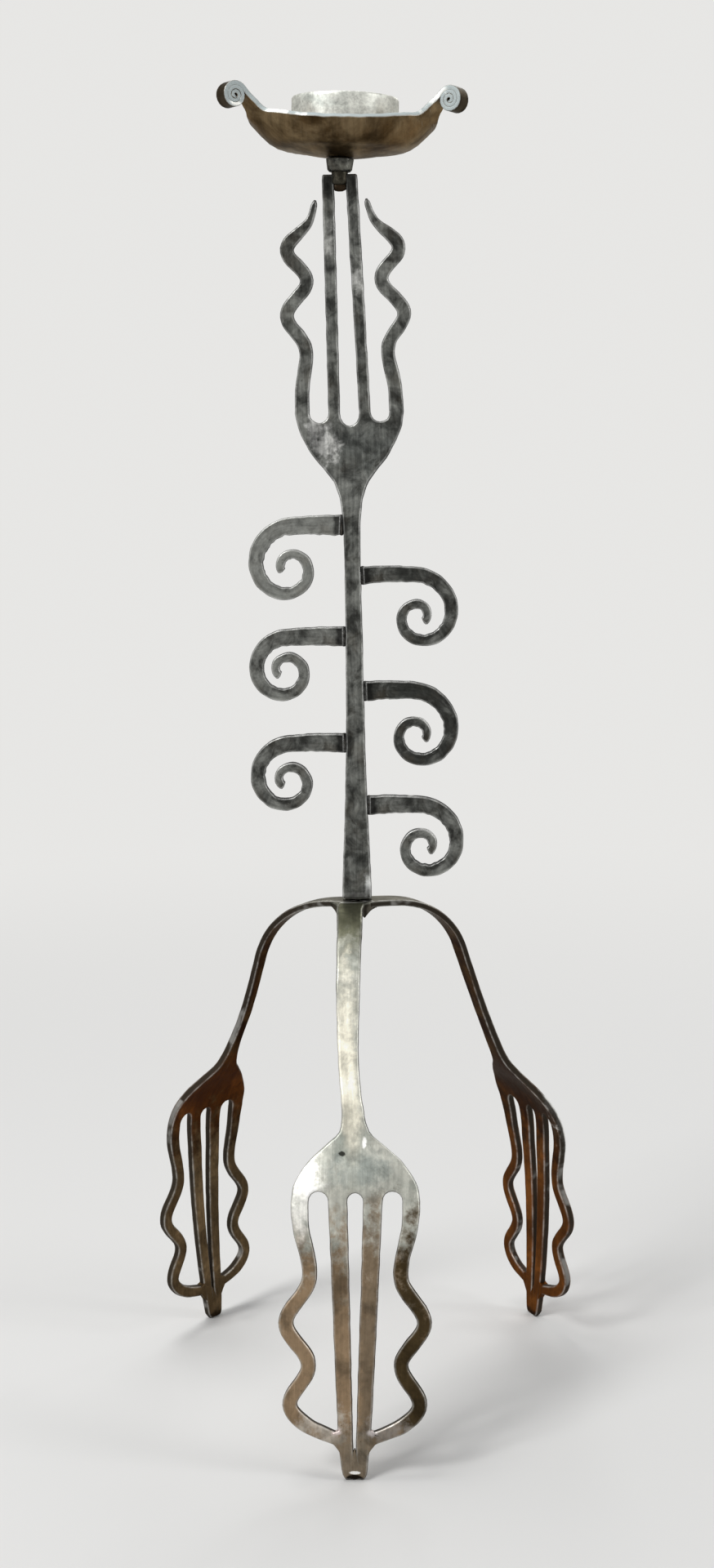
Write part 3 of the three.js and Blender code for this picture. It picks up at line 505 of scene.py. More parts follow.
wander = w.add("TexNoise", {"Vector": g["Place"], "Scale": 900.0, "Detail": 3.0}).outputs["Color"]
wander = w.add("VectorMath", {0: wander, 1: PIT_WANDER, 2: g["Place"]}, operation="MULTIPLY_ADD").outputs[0]
dots = w.add("TexVoronoi", {"Vector": wander, "Scale": 520.0, "Randomness": 1.0}).outputs["Distance"]
dot_where = w.span(w.noise(w.stretch(g["Place"], (1, 1, 1), move=(1.7, 0.2, 0)), 170.0, 2.0), 0.52, 0.64)
pit = w.maths("MULTIPLY", w.span(dots, 0.2, 0.1), dot_where)
pit = w.maths("MULTIPLY", pit, g["Pits"])
skin = w.blend(w.maths("MULTIPLY", pit, 0.85), skin, (0.03, 0.027, 0.022, 1))
w.feed(steel_out.inputs["Color"], skin)
depth = w.maths("MULTIPLY", shade, w.span(light, 0.0, 1.0, 0.6, 1.35))
depth = w.maths("MULTIPLY", depth, w.maths("SUBTRACT", 1.0, w.maths("MULTIPLY", pit, 0.85)))
depth = w.maths("ADD", depth, w.maths("MULTIPLY", lines, 0.3))
w.feed(steel_out.inputs["Detail"], w.grey(depth))
gloss = w.span(patches, 0.25, 0.75, 0.46, 0.34)
gloss = w.maths("ADD", gloss, w.maths("MULTIPLY", speck_tone, 0.05))
w.feed(steel_out.inputs["Roughness"], w.maths("ADD", gloss, w.maths("MULTIPLY", pit, 0.3)))
dents = w.maths("MULTIPLY", w.noise(g["Place"], 260.0, 5.0), 0.55)
bumps = w.maths("ADD", w.maths("MULTIPLY", streak, 0.12), dents)
bumps = w.maths("SUBTRACT", bumps, w.maths("MULTIPLY", pit, 0.9))
bumps = w.maths("SUBTRACT", bumps, w.maths("MULTIPLY", lines, 0.2))
w.feed(steel_out.inputs["Height"], bumps)

# The cut walls of a plate in a painted tone, shade on most pieces, with painted highlights here and there,
# and its rounded rims, polished in places, which paints their highlights too
edges, edges_in, edges_out = group_with(
    "Worn edges",
    [
        ("Vector", "Place", None),
        ("Color", "Face", (0.5, 0.5, 0.5, 1)),
        ("Float", "Rim", 0.0),
        ("Float", "Side", 0.0),
        ("Color", "Rim tone", (0.8, 0.8, 0.78, 1)),
        ("Color", "Side tone", (0.1, 0.1, 0.1, 1)),
        ("Float", "Rim wear and highlight", 0.7),
        ("Float", "Painted wall shine", 0.3),
    ],
    [("Color", "Color"), ("Float", "Dull")],
)
w = Wires(edges)
g = edges_in.outputs
wear_and_shine_place = w.noise(w.stretch(g["Place"], (1, 1, 1), move=(0.2, 0.8, 0.5)), 75.0, 3.0, 0.6)
# painted highlights here and there on the cut walls
shine = w.maths("MULTIPLY", w.span(wear_and_shine_place, 0.6, 0.68), w.maths("MULTIPLY", g["Side"], g["Painted wall shine"]))
# the cut walls painted in their side tone, dark as shade on most pieces
skin = w.blend(w.maths("MULTIPLY", g["Side"], 0.95), g["Face"], g["Side tone"])
skin = w.blend(shine, skin, g["Rim tone"])
ragged = w.span(w.noise(g["Place"], 420.0, 4.0, 0.65), 0.36, 0.6, 0.35, 1.0)
# rims rubbed bright, which paints their highlights too
rim = w.maths("MULTIPLY", w.maths("MULTIPLY", g["Rim"], g["Rim wear and highlight"]), ragged)
rim = w.maths("MULTIPLY", rim, w.span(wear_and_shine_place, 0.36, 0.56, 0.35, 1.0))
w.feed(edges_out.inputs["Color"], w.blend(rim, skin, g["Rim tone"]))
w.feed(edges_out.inputs["Dull"], w.maths("MAXIMUM", w.maths("SUBTRACT", g["Side"], shine), 0.0))

# A soft-edged patch in one place on a piece, its edge broken up by noise
patch, patch_in, patch_out = group_with(
    "Soft patch",
    [
        ("Vector", "Place", None),
        ("Vector", "Centre", (0, 0, 0)),
        ("Vector", "Size", (0.01, 0.01, 0.01)),
        ("Float", "Ragged", 0.5),
        ("Float", "Softness", 0.5),
        ("Float", "Strength", 1.0),
    ],
    [("Float", "Mask")],
)
w = Wires(patch)
g = patch_in.outputs
offset = w.add("VectorMath", {0: g["Place"], 1: g["Centre"]}, operation="SUBTRACT").outputs[0]
offset = w.add("VectorMath", {0: offset, 1: g["Size"]}, operation="DIVIDE").outputs[0]
far = w.add("VectorMath", {0: offset}, operation="LENGTH").outputs["Value"]
broken = w.span(w.noise(g["Place"], 260.0, 5.0, 0.65), 0.2, 0.8, -1.0, 1.0)
far = w.maths("ADD", far, w.maths("MULTIPLY", broken, g["Ragged"]))
mask = w.span(far, w.maths("ADD", 1.0, g["Softness"]), w.maths("SUBTRACT", 1.0, g["Softness"]))
w.feed(patch_out.inputs["Mask"], w.maths("MULTIPLY", mask, g["Strength"]))


STEEL_METALLIC = 0.85
EDGE_TINT = (0.45, 0.44, 0.42, 1.0)


def steel_material(name, tones, patches=(), coords="blank", rough=0.0, bump=0.35):
    """One piece's steel: the shared worn steel in the piece's own tones, with its own patches over it.

    A patch has a centre and a size in millimetres, a colour, and its raggedness, softness and strength.
    """
    material = bpy.data.materials.new(name)
    material.use_nodes = True
    tree = material.node_tree
    tree.nodes.clear()
    w = Wires(tree)
    if coords == "blank":
        place = w.add("Attribute", attribute_name="blank").outputs["Vector"]
        rim = w.add("Attribute", attribute_name="rim").outputs["Fac"]
        side = w.add("Attribute", attribute_name="side").outputs["Fac"]
    else:
        place = w.add("TexCoord").outputs["Object"]
        rim = side = 0.0
    worn = w.add("Group", {"Place": place}, node_tree=steel)
    edge = w.add("Group", {"Place": place, "Rim": rim, "Side": side}, node_tree=edges)
    for socket, value in tones.items():
        for made in (worn, edge):
            if socket in made.inputs:
                made.inputs[socket].default_value = value
    colour = worn.outputs["Color"]
    for centre, size, patch_tone, ragged, soft, strength in patches:
        spot = w.add("Group", {
            "Place": place, "Centre": [c * MM for c in centre], "Size": [c * MM for c in size],
            "Ragged": ragged, "Softness": soft, "Strength": strength,
        }, node_tree=patch)
        worn_tone = w.blend(1.0, patch_tone, worn.outputs["Detail"], "MULTIPLY")
        colour = w.blend(spot.outputs["Mask"], colour, worn_tone)
    w.feed(edge.inputs["Face"], colour)
    dull = edge.outputs["Dull"]
    gloss = w.maths("ADD", worn.outputs["Roughness"], w.maths("MULTIPLY", dull, 0.25))
    polish = w.maths("SUBTRACT", 1.0, w.maths("MULTIPLY", dull, 0.8))
    bump_node = w.add("Bump", {"Height": worn.outputs["Height"], "Strength": bump, "Distance": 0.0003})
    shader = w.add("BsdfPrincipled", {
        "Base Color": edge.outputs["Color"],
        "Roughness": w.maths("ADD", gloss, rough),
        "Metallic": w.maths("MULTIPLY", STEEL_METALLIC, polish),
        "Specular IOR Level": 0.15,
        "Specular Tint": EDGE_TINT,
        "Normal": bump_node.outputs["Normal"],
    })
    out = w.add("OutputMaterial")
    w.feed(out.inputs["Surface"], shader.outputs["BSDF"])
    return material


def tone(red, green, blue):
    return (red, green, blue, 1.0)


def leg_steel(name, neck, root, end):
    """A leg's steel: its tones change from the apex over strap and bowl to the tines, with painted highlights
    and painted shade among its patches.
    """
    tines = ((0, root + 48, 0), (40, 40, 10))
    if name == "front":
        tones = {
            "Dark": tone(0.25, 0.27, 0.24), "Light": tone(0.56, 0.56, 0.5), "Stain": tone(0.28, 0.27, 0.22),
            "Patch size": 14.0, "Light share": 0.55, "Stain share": 0.4,
            "Streaks": 0.18, "Mottle": 0.16, "Scratches": 0.8, "Pits": 0.4,
            # the side tone paints the cut walls dark as shade; rims and walls get painted highlights
            "Rim tone": tone(0.85, 0.84, 0.8), "Side tone": tone(0.02, 0.016, 0.011),
            "Rim wear and highlight": 0.45, "Painted wall shine": 0.15,
        }
        patches = [
            (*tines, tone(0.2, 0.13, 0.07), 0.3, 0.3, 0.92),
            # painted shade: the right centre tine darker, as the light falls from the left
            ((4.8, root + 44, 0), (3.4, 40, 10), tone(0.13, 0.1, 0.068), 0.5, 0.5, 0.8),
            # painted highlight on the left wave tine's last bends
            ((-8.5, root + 59.5, 0), (6, 4.5, 10), tone(0.5, 0.47, 0.42), 0.9, 0.6, 0.6),
            # painted shade: the right wave tine darker, as the light falls from the left
            ((15, root + 42, 0), (7, 34, 10), tone(0.035, 0.024, 0.01), 0.5, 0.4, 0.94),
            # painted highlight on the right wave tine's last bends
            ((9, root + 60, 0), (5, 3, 10), tone(0.36, 0.33, 0.3), 0.8, 0.6, 0.6),
            # painted shade at the top of the strap, under the stem
            ((0, 9, 0), (20, 19, 10), tone(0.075, 0.076, 0.045), 0.25, 0.4, 0.92),
            # painted highlight: a pale vertical reflection down the strap
            ((-0.6, neck - 14, 0), (2.7, 26, 10), tone(0.9, 0.86, 0.72), 0.4, 0.5, 0.9),
            ((0, end - 6, 0), (5.5, 8, 10), tone(0.17, 0.145, 0.11), 0.4, 0.5, 0.75),
            ((-4.9, end - 13.4, 0), (1.3, 1.1, 10), tone(0.68, 0.58, 0.56), 0.5, 0.5, 0.85),
            ((4.9, end - 13.2, 0), (1.1, 1, 10), tone(0.6, 0.55, 0.54), 0.5, 0.5, 0.8),
            # painted shade on the foot's bevelled end
            ((0, end + 0.2, 0), (2.6, 2.1, 10), tone(0.012, 0.009, 0.006), 0.08, 0.1, 0.98),
            # painted highlight on the foot's flat facet
            ((0.2, end - 2.35, 0), (1.4, 0.42, 10), tone(0.95, 0.93, 0.88), 0.25, 0.2, 0.95),
            ((1, neck + 11.5, 0), (6.5, 5, 10), tone(0.19, 0.22, 0.21), 0.7, 0.6, 0.65),
            # painted highlight on the bowl's left shoulder
            ((-13.5, neck + 18, 0), (4, 8, 10), tone(1.0, 0.99, 0.94), 0.7, 0.6, 0.8),
            ((-3.2, neck + 7, 0), (0.9, 0.7, 10), tone(0.03, 0.03, 0.025), 0.7, 0.3, 0.95),
            # painted glint beside the neck
            ((2.6, neck + 4.2, 0), (0.6, 1.6, 10), tone(1.0, 1.0, 0.97), 0.8, 0.4, 0.95),
        ]
    else:
        left = name == "rear_left"
        # the rear legs' brown tones, their bowls most, are a painted reflection of a wooden table over the
        # steel
        bowl_reflected_brown = tone(0.095, 0.03, 0.006) if left else tone(0.045, 0.017, 0.004)
        tine_tone = tone(0.13, 0.088, 0.045) if left else tone(0.17, 0.058, 0.012)
        tones = {
            "Dark": tone(0.022, 0.009, 0.003), "Light": tone(0.09, 0.048, 0.02),
            "Stain": tone(0.085, 0.03, 0.006),
            "Patch size": 16.0, "Light share": 0.35, "Stain share": 0.7,
            "Streaks": 0.3, "Scratches": 0.4, "Pits": 0.5,
            # the side tone paints the cut walls dark as shade; rims and walls get painted highlights
            "Rim tone": tone(0.8, 0.79, 0.75), "Side tone": tone(0.03, 0.024, 0.017),
            "Rim wear and highlight": 0.55, "Painted wall shine": 0.25,
        }
        patches = [
            ((0, neck + 13, 0), (22, 14, 10), bowl_reflected_brown, 0.3, 0.4, 0.94),
            (*tines, tine_tone, 0.35, 0.3, 0.9),
            ((0, 6, 0), (20, 14, 10), tone(0.2, 0.195, 0.165), 0.5, 0.45, 0.9),
            # painted shade on the foot's bevelled end
            ((0, end, 0), (10, 2.2, 10), tone(0.02, 0.012, 0.006), 0.4, 0.4, 0.9),
        ]
        if not left:
            patches.append(((-16.5, neck + 14, 0.8), (2.6, 16, 1.4), tone(1.0, 1.0, 0.97), 0.9, 0.4, 0.95))
    patches += [
        # painted shade at the apex under the stem, and a painted highlight along the crest in front of it
        ((0, 0.6, 0.95), (4.4, 2.1, 0.7), tone(0.012, 0.012, 0.01), 0.15, 0.3, 0.95),
        ((-0.3, 3.1, 0.95), (3.8, 0.5, 0.6), tone(0.9, 0.9, 0.86), 0.5, 0.5, 0.9 if name == "front" else 0.3),
    ]
    return steel_material("Leg steel " + name, tones, patches)


leg_steels = {}
leg_places = {}
for seed, (name, shape) in enumerate(LEGS.items()):
    place, neck, root, end = leg_place(shape)
    turned = Matrix.Rotation(math.radians(shape["angle"]), 4, "Z")
    leg_places[name] = (place, end, turned)
    leg_steels[name] = leg_steel(name, neck, root, end)
    outline = hand_filed(leg_outline(shape, neck, root, end), seed + 1, 0.14, 0.3)
    along_cuts = [2.03 + 1.6 * i for i in range(int((end - 3) / 1.6))] + [end - FOOT_BEVEL + 0.013, end - 0.9]
    across_cuts = [-14.03 + 3 * i for i in range(5)] + [1.03 + 3 * i for i in range(5)]
    bm = cut_blank(outline, LEG_THICK, LEG_ROUND, across_cuts, along_cuts, 4)
    bend_blank(bm, place)
    finish_piece(
        "fork_leg_" + name, bm, leg_steels[name], ["leg_fork_" + name],
        turned,
    )

# Foot welds and tine brazes
# On each leg a weld closes the slit between the two centre tines down to the foot, dressed flush with them.
# A fillet of braze joins each outer tine's turned-in tip to the centre tine, dressed smooth, pinkish white
# where the flux sat. The front foot's weld stops short, so that a thin slit shows above it.
FOOT_WELD_HALF = FOOT_GAP / 2 + 0.8
FOOT_WELD_START = {"front": 2.6, "rear_left": 0.2, "rear_right": 0.2}
FOOT_WELD_POINT = 3.6
BRAZE_ON_CENTRE = 0.9
BRAZE_ON_TIP = 1.2
BRAZE_SLOPE = 0.32
BRAZE_HALVES = (1.75, 1.45)
BRAZE_FILLETS = (1.9, 2.4)


def melted_lump(bm, centre, half_sizes, squareness, rough, seed, subdivisions=3, turn=Matrix()):
    """A dab of melted metal: a ball squared off towards its half sizes, its skin uneven."""
    made = bmesh.ops.create_icosphere(bm, subdivisions=subdivisions, radius=1.0)["verts"]
    shift = Vector((seed * 5.1, seed * 2.3, seed * 1.7))
    for v in made:
        d = v.co.copy()
        squared = Vector([math.copysign(abs(c) ** squareness, c) for c in d])
        swell = 1 + rough * noise.noise(d * 1.6 + shift) + rough * 0.5 * noise.noise(d * 4.1 - shift)
        v.co = Vector(centre) + turn.to_3x3() @ Vector([c * h * swell for c, h in zip(squared, half_sizes)])


def frame_at(place, u, s):
    """Turn and place of a spot on a bent blank: x across, y along, z out of its face."""
    spot = place(u, s, 0)
    along = (place(u, s + 0.2, 0) - place(u, s - 0.2, 0)).normalized()
    across = (place(u + 0.2, s, 0) - place(u - 0.2, s, 0)).normalized()
    out = across.cross(along)
    across = along.cross(out)
    return spot, Matrix((across, along, out)).transposed().to_4x4()


def dressed_fill(outline, seed, place, top_sink=0.0, sunk=0.1, proud=0.01, pitch=0.4):
    """Melted metal dressed flush between faces of a bent blank: uneven, its margins sunk in the steel."""
    low_x, high_x = min(p.x for p in outline), max(p.x for p in outline)
    low_y, high_y = min(p.y for p in outline), max(p.y for p in outline)
    across_cuts = [low_x + pitch * (i + 0.53) for i in range(int((high_x - low_x) / pitch))]
    along_cuts = [low_y + pitch * (i + 0.51) for i in range(int((high_y - low_y) / pitch))]
    thick = LEG_THICK - 2 * sunk
    bm = cut_blank(outline, thick, 0.2, across_cuts, along_cuts, 3)
    shift = Vector((seed * 3.7, seed * 1.9, seed * 0.7))
    rim, side = (bm.verts.layers.float[layer] for layer in ("rim", "side"))
    for v in bm.verts:
        v[rim] = 0.0
        v[side] = 0.0
        middle = 1 - min(1.0, abs(2 * v.co.x - low_x - high_x) / (high_x - low_x)) ** 4
        rise = (sunk + proud) * middle + 0.03 * noise.noise(v.co * 1.3 + shift)
        rise -= top_sink * (1 - ease(low_y, low_y + FOOT_WELD_POINT, v.co.y))
        v.co.z *= 1 + rise / (thick / 2)
    bend_blank(bm, place)
    return bm


def melt_together(piece, size, rounds):
    """Melts a piece's lumps into one skin and lets it settle."""
    melt = piece.modifiers.new("melt", "REMESH")
    melt.mode = "VOXEL"
    melt.voxel_size = size * MM
    melt.use_smooth_shade = True
    settle = piece.modifiers.new("settle", "SMOOTH")
    settle.factor = 0.5
    settle.iterations = rounds


for seed, (name, (place, end, turned)) in enumerate(leg_places.items()):
    half = FOOT_WELD_HALF
    start = end - FOOT_WAIST + FOOT_WELD_START[name]
    foot = [(0.12, start), (half * 0.55, start + 1.6), (half, start + FOOT_WELD_POINT), (half, end - 0.35)]
    foot = [Vector(p) for p in foot] + [Vector((-u, s)) for u, s in reversed(foot)]
    bm = dressed_fill(foot, seed * 20, place, 0.5)
    finish_piece("foot_weld_bead_" + name, bm, leg_steels[name], ["foot_weld_" + name], turned)
    joint = end - BRAZE_HEIGHT
    edge = FOOT_GAP / 2 + mix(FOOT_TINE, WAIST_TINE, BRAZE_HEIGHT / FOOT_WAIST)
    for side, word in ((-1, "left"), (1, "right")):
        upper, lower = [], []
        for t in spaced(0, 1, 14):
            u = mix(edge - BRAZE_ON_CENTRE, TIP_EDGE + BRAZE_ON_TIP, t)
            middle = joint - BRAZE_SLOPE * (u - TIP_EDGE)
            half = mix(*BRAZE_HALVES, ease(0.55, 1, t))
            upper.append(Vector((side * u, middle - half - BRAZE_FILLETS[0] * (1 - t) ** 2.6)))
            lower.append(Vector((side * u, middle + half + BRAZE_FILLETS[1] * (1 - t) ** 2)))
        bm = dressed_fill(upper + lower[::-1], seed * 9 + side, place, pitch=0.3)
        spot = name + "_" + word
        finish_piece("braze_dab_" + spot, bm, leg_steels[name], ["tine_braze_" + spot], turned)

# Apex weld
# The three handles are welded together where they are mitred: a puddle under them, and a web in each
# crotch between two of them, ground smooth on top, which hangs beside the front handle as a fillet.
apex_metal = steel_material(
    "Apex weld metal",
    {
        "Dark": tone(0.03, 0.026, 0.02), "Light": tone(0.11, 0.1, 0.08), "Stain": tone(0.05, 0.045, 0.035),
        "Patch size": 4.0, "Light share": 0.4, "Stain share": 0.4,
        "Streaks": 0.2, "Scratches": 0.0, "Pits": 0.2,
    },
    patches=[((0, 0, APEX_HEIGHT + 0.1), (30, 30, 0.8), tone(0.2, 0.2, 0.17), 0.2, 0.3, 0.9)],
    coords="object", rough=0.06, bump=0.6,
)
WELD_GAP = 0.15
WEB_REACH = 8.8
WEB_FOOT = APEX_HEIGHT - STRAP_THICK + 0.35
WEB_HANG = 2.7
WEB_CLOSE = 0.45
CROWN_SINK = 0.0054
crotch = (STRAP_HALVES[0] + WELD_GAP) / math.sin(math.radians(60))
reach = WEB_REACH - crotch
web = []
for t in spaced(0, 1, 16):
    hollow = 1 - (2 * t - 1) ** 2
    across = mix(-1, 1, t) * reach * math.sin(math.radians(60))
    along = crotch + reach * 0.5 - (reach * 0.5 - 1.0) * hollow
    web.append(Vector((along, across, WEB_FOOT)))
front_start = smooth_through(list(zip((0, STRAP_START), LEGS["front"]["start"])))


def web_edge(spot, turn):
    """Lower and upper end of a web's edge, drawn towards the front strap and hanging beside it."""
    low = turn @ spot
    front = front_start(-low.y)
    low.x += (front - (WEB_CLOSE if low.x > 0 else 0)) * ease(-1, 2, -low.y)
    clear = max(0.0, abs(low.x - front) - STRAP_HALVES[0] + 0.1)
    if low.y < 0:
        low.z -= WEB_HANG * max(0.0, 1 - clear / 3.6) ** 1.8 * ease(-9, -4.5, low.y)
    return low, Vector((low.x, low.y, APEX_HEIGHT - 0.06 - CROWN_SINK * (low.x**2 + low.y**2)))


bm = bmesh.new()
melted_lump(bm, (-1.5, 0.6, APEX_HEIGHT - 2.5), (3.1, 3.6, 0.9), 0.85, 0.1, 3, 4)
for shape in LEGS.values():
    turn = Matrix.Rotation(math.radians(shape["angle"] + 180), 4, "Z")
    inner = web_edge(Vector((crotch - 1.6, 0, WEB_FOOT)), turn)
    inner_low, inner_top = [bm.verts.new(p) for p in inner]
    web_ends = [web_edge(spot, turn) for spot in web]
    low = [bm.verts.new(ends[0]) for ends in web_ends]
    top = [bm.verts.new(ends[1]) for ends in web_ends]
    for i in range(len(web) - 1):
        bm.faces.new((inner_low, low[i + 1], low[i]))
        bm.faces.new((inner_top, top[i], top[i + 1]))
        bm.faces.new((low[i], low[i + 1], top[i + 1], top[i]))
    bm.faces.new((inner_low, low[0], top[0], inner_top))
    bm.faces.new((inner_top, top[-1], low[-1], inner_low))
bmesh.ops.recalc_face_normals(bm, faces=bm.faces)
apex = finish_piece("apex_weld_puddle", bm, apex_metal, ["apex_weld"])
melt_together(apex, 0.13, 16)

# Stem fork
# A smaller table fork, stood upright on the apex with its tines up. Its handle is ground to a slim
# taper, its outer tines are forged to points and waved. Dark gun-metal, partly patina and partly a painted
# reflection of a dark room, with pale rubbed patches.
STEM_THICK = 2.5
HANDLE_RUN = 104
STEM_BENDS = [(HANDLE_RUN, 0), (12, 13), (32, -22), (52.6, 5.5)]
STEM_SWAY = 0.9
STEM_LEAN = -0.15
STEM_DISH = 1.2
STEM_END_HALF = 4.2
HANDLE_HALF = 2.25
STEM_BOWL_HALF = 15.1
STEM_GAP = 5.3
STEM_CENTRE_TINE = 3.2
STEM_WAVE_TINE = 3.7
STEM_WAVE_TIP = 1.7
STEM_ROUND = 0.55
STEM_TOP_GAP = 3.1
STEM_ROOT = 137.3
CENTRE_GAP_DROP = 1.0
STEM_FOOT = APEX_HEIGHT + 0.7
stem_at, STEM_END = bent_path(STEM_BENDS)
stem_half = smooth_through([
    (0, STEM_END_HALF),
    (HANDLE_RUN * 0.105, STEM_END_HALF * 0.92),
    (HANDLE_RUN * 0.24, STEM_END_HALF * 0.775),
    (HANDLE_RUN * 0.4, HANDLE_HALF * 1.22),
    (HANDLE_RUN * 0.62, HANDLE_HALF * 1.09),
    (HANDLE_RUN * 0.95, HANDLE_HALF),
    (HANDLE_RUN + 4.5, HANDLE_HALF * 1.12),
    (HANDLE_RUN + 8, HANDLE_HALF * 1.32),
    (STEM_ROOT - 23, HANDLE_HALF * 1.51),
    (STEM_ROOT - 19, STEM_BOWL_HALF * 0.32),
    (STEM_ROOT - 15.5, STEM_BOWL_HALF * 0.49),
    (STEM_ROOT - 11.5, STEM_BOWL_HALF * 0.705),
    (STEM_ROOT - 4.8, STEM_BOWL_HALF * 0.935),
    (STEM_ROOT, STEM_BOWL_HALF),
])


def stem_drift(s):
    return STEM_SWAY * math.sin(math.pi * s / STEM_END) + STEM_LEAN


def stem_place(u, s, n):
    along, up, heading = stem_at(s)
    swell = math.sin(math.pi * min(1.0, max(0.0, (s - HANDLE_RUN) / (STEM_ROOT + 10 - HANDLE_RUN)))) ** 2
    out = n - STEM_DISH * swell * max(0.0, 1 - (u / STEM_BOWL_HALF) ** 2)
    return Vector((
        u + stem_drift(s),
        -(up + out * math.cos(heading)),
        STEM_FOOT + along + out * math.sin(heading),
    ))


def stem_outline():
    inner = STEM_GAP / 2
    outer = inner + STEM_CENTRE_TINE
    wave_inner = outer + STEM_GAP
    root = (wave_inner + STEM_BOWL_HALF) / 2
    wave = [
        (root, STEM_ROOT),
        (root - 0.3, STEM_ROOT + 7),
        (root - 1.8, STEM_ROOT + 18),
        (root + 3.2, STEM_ROOT + 26.8),
        (root - 3.2, STEM_ROOT + 35.8),
        (root + 2.4, STEM_ROOT + 44),
        (root - 4.2, STEM_ROOT + 51),
        (root - 6.2, STEM_ROOT + 56.9),
    ]
    full = STEM_BOWL_HALF - wave_inner

    def width_at(t):
        body = mix(full, STEM_WAVE_TINE, min(1.0, t * 4))
        taper = (STEM_WAVE_TIP - STEM_WAVE_TINE) * ease(0.78, 0.97, t)
        point = 1 - ((t - 0.97) / 0.035) ** 2 if t > 0.97 else 1
        return (body + taper) * max(0.25, point)

    inside, outside = waved_edges(wave, width_at)
    right = [Vector((stem_half(0) - 0.25, 0)), Vector((stem_half(0), 0.3))]
    right += [Vector((stem_half(s), s)) for s in spaced(0, STEM_ROOT, 110)[1:-1]]
    right += outside + inside[::-1]
    right += round_gap(wave_inner, outer, STEM_ROOT, 0)
    near = smooth_through([(STEM_ROOT, inner), (STEM_END, STEM_TOP_GAP / 2)])
    steps = spaced(STEM_ROOT, STEM_END, 44)
    right += [Vector((near(s) + STEM_CENTRE_TINE, s)) for s in steps[:-1]]
    right += [Vector((near(STEM_END) + STEM_CENTRE_TINE - 0.1, STEM_END - 0.25))]
    right += [Vector((near(STEM_END) + STEM_CENTRE_TINE - 0.45, STEM_END))]
    right += [Vector((near(s), s)) for s in reversed(steps)]
    left = [Vector((-p.x, p.y)) for p in reversed(right)]
    return right + round_gap(inner, -inner, STEM_ROOT, CENTRE_GAP_DROP) + left


stem_steel = steel_material(
    "Stem steel",
    {
        "Dark": tone(0.034, 0.035, 0.032), "Light": tone(0.2, 0.205, 0.19), "Stain": tone(0.07, 0.06, 0.045),
        "Patch size": 5.5, "Light share": 0.45, "Stain share": 0.4,
        "Streaks": 0.45, "Scratches": 0.7, "Pits": 0.5,
        # the side tone paints the cut walls dark as shade; rims and walls get painted highlights
        "Rim tone": tone(0.85, 0.85, 0.83), "Side tone": tone(0.025, 0.025, 0.023),
        "Rim wear and highlight": 0.85, "Painted wall shine": 0.5,
        "Scratch tone": tone(0.45, 0.45, 0.43),
    },
    patches=[
        ((2, 127, 0), (11, 6, 10), tone(0.06, 0.065, 0.062), 0.6, 0.6, 0.6),
        ((-6, 127.5, 0), (2.6, 3.4, 10), tone(0.6, 0.6, 0.58), 1.0, 0.7, 0.85),
        ((-9.8, 133.5, 0), (2.4, 3, 10), tone(0.42, 0.42, 0.41), 1.0, 0.7, 0.8),
        ((3.6, 173.5, 0), (1.6, 3.2, 10), tone(0.5, 0.5, 0.48), 1.1, 0.7, 0.8),
        ((-4.2, 184, 0), (1.6, 4, 10), tone(0.42, 0.42, 0.4), 1.0, 0.7, 0.7),
        ((0, 198.5, 0), (7, 3.5, 10), tone(0.02, 0.02, 0.018), 0.5, 0.5, 0.8),
        ((3.4, 4, 0), (1.4, 2.8, 10), tone(0.5, 0.51, 0.5), 0.9, 0.6, 0.85),
        ((0, 1, 0), (4.4, 0.8, 10), tone(0.25, 0.25, 0.24), 0.7, 0.5, 0.7),
    ],
)
outline = hand_filed(stem_outline(), 9, 0.14, 0.35)
along_cuts = [1.51 + 2.9 * i for i in range(35)] + [HANDLE_RUN + 0.53 + 1.5 * i for i in range(62)]
across_cuts = [-12.03, -9.03, -6.03, -3.03, 0.03, 3.03, 6.03, 9.03, 12.03]
bm = cut_blank(outline, STEM_THICK, STEM_ROUND, across_cuts, along_cuts)
bend_blank(bm, stem_place)
finish_piece("fork_stem", bm, stem_steel, ["stem_fork"])

# Stem weld
# The bead that holds the stem's square end on the three handles, run round its back and both sides,
# and left open at the front, where a dark slit shows under the stem.
BEAD_SIZE = 0.55
bead_half = STEM_END_HALF - BEAD_SIZE
bead_line = [(-bead_half, mix(0.9, 1.2, t)) for t in spaced(0, 1, 4)]
bead_line += [(mix(-bead_half, bead_half, t), 1.35) for t in spaced(0, 1, 20)]
bead_line += [(bead_half, mix(1.2, 0.9, t)) for t in spaced(0, 1, 4)]
bm = bmesh.new()
for i, (across, back) in enumerate(bead_line):
    spot = (stem_drift(0) + across, back, APEX_HEIGHT + 0.25)
    melted_lump(bm, spot, (BEAD_SIZE, BEAD_SIZE, 0.62), 1.0, 0.14, 40 + i)
bead = finish_piece("stem_weld_bead", bm, apex_metal, ["stem_weld"])
melt_together(bead, 0.15, 4)

# Scrolls
# Six bars cut from plate, tapered and curled, three to each side of the handle at alternating heights.
# Dark steel with rough cut edges, their walls painted dark as shade and their rims rubbed bright, which
# paints their highlights too. A short bead joins each bar to the handle.
SCROLL_THICK = 2.5
SCROLL_TIP = 2.3
SCROLL_WELD = 1.3
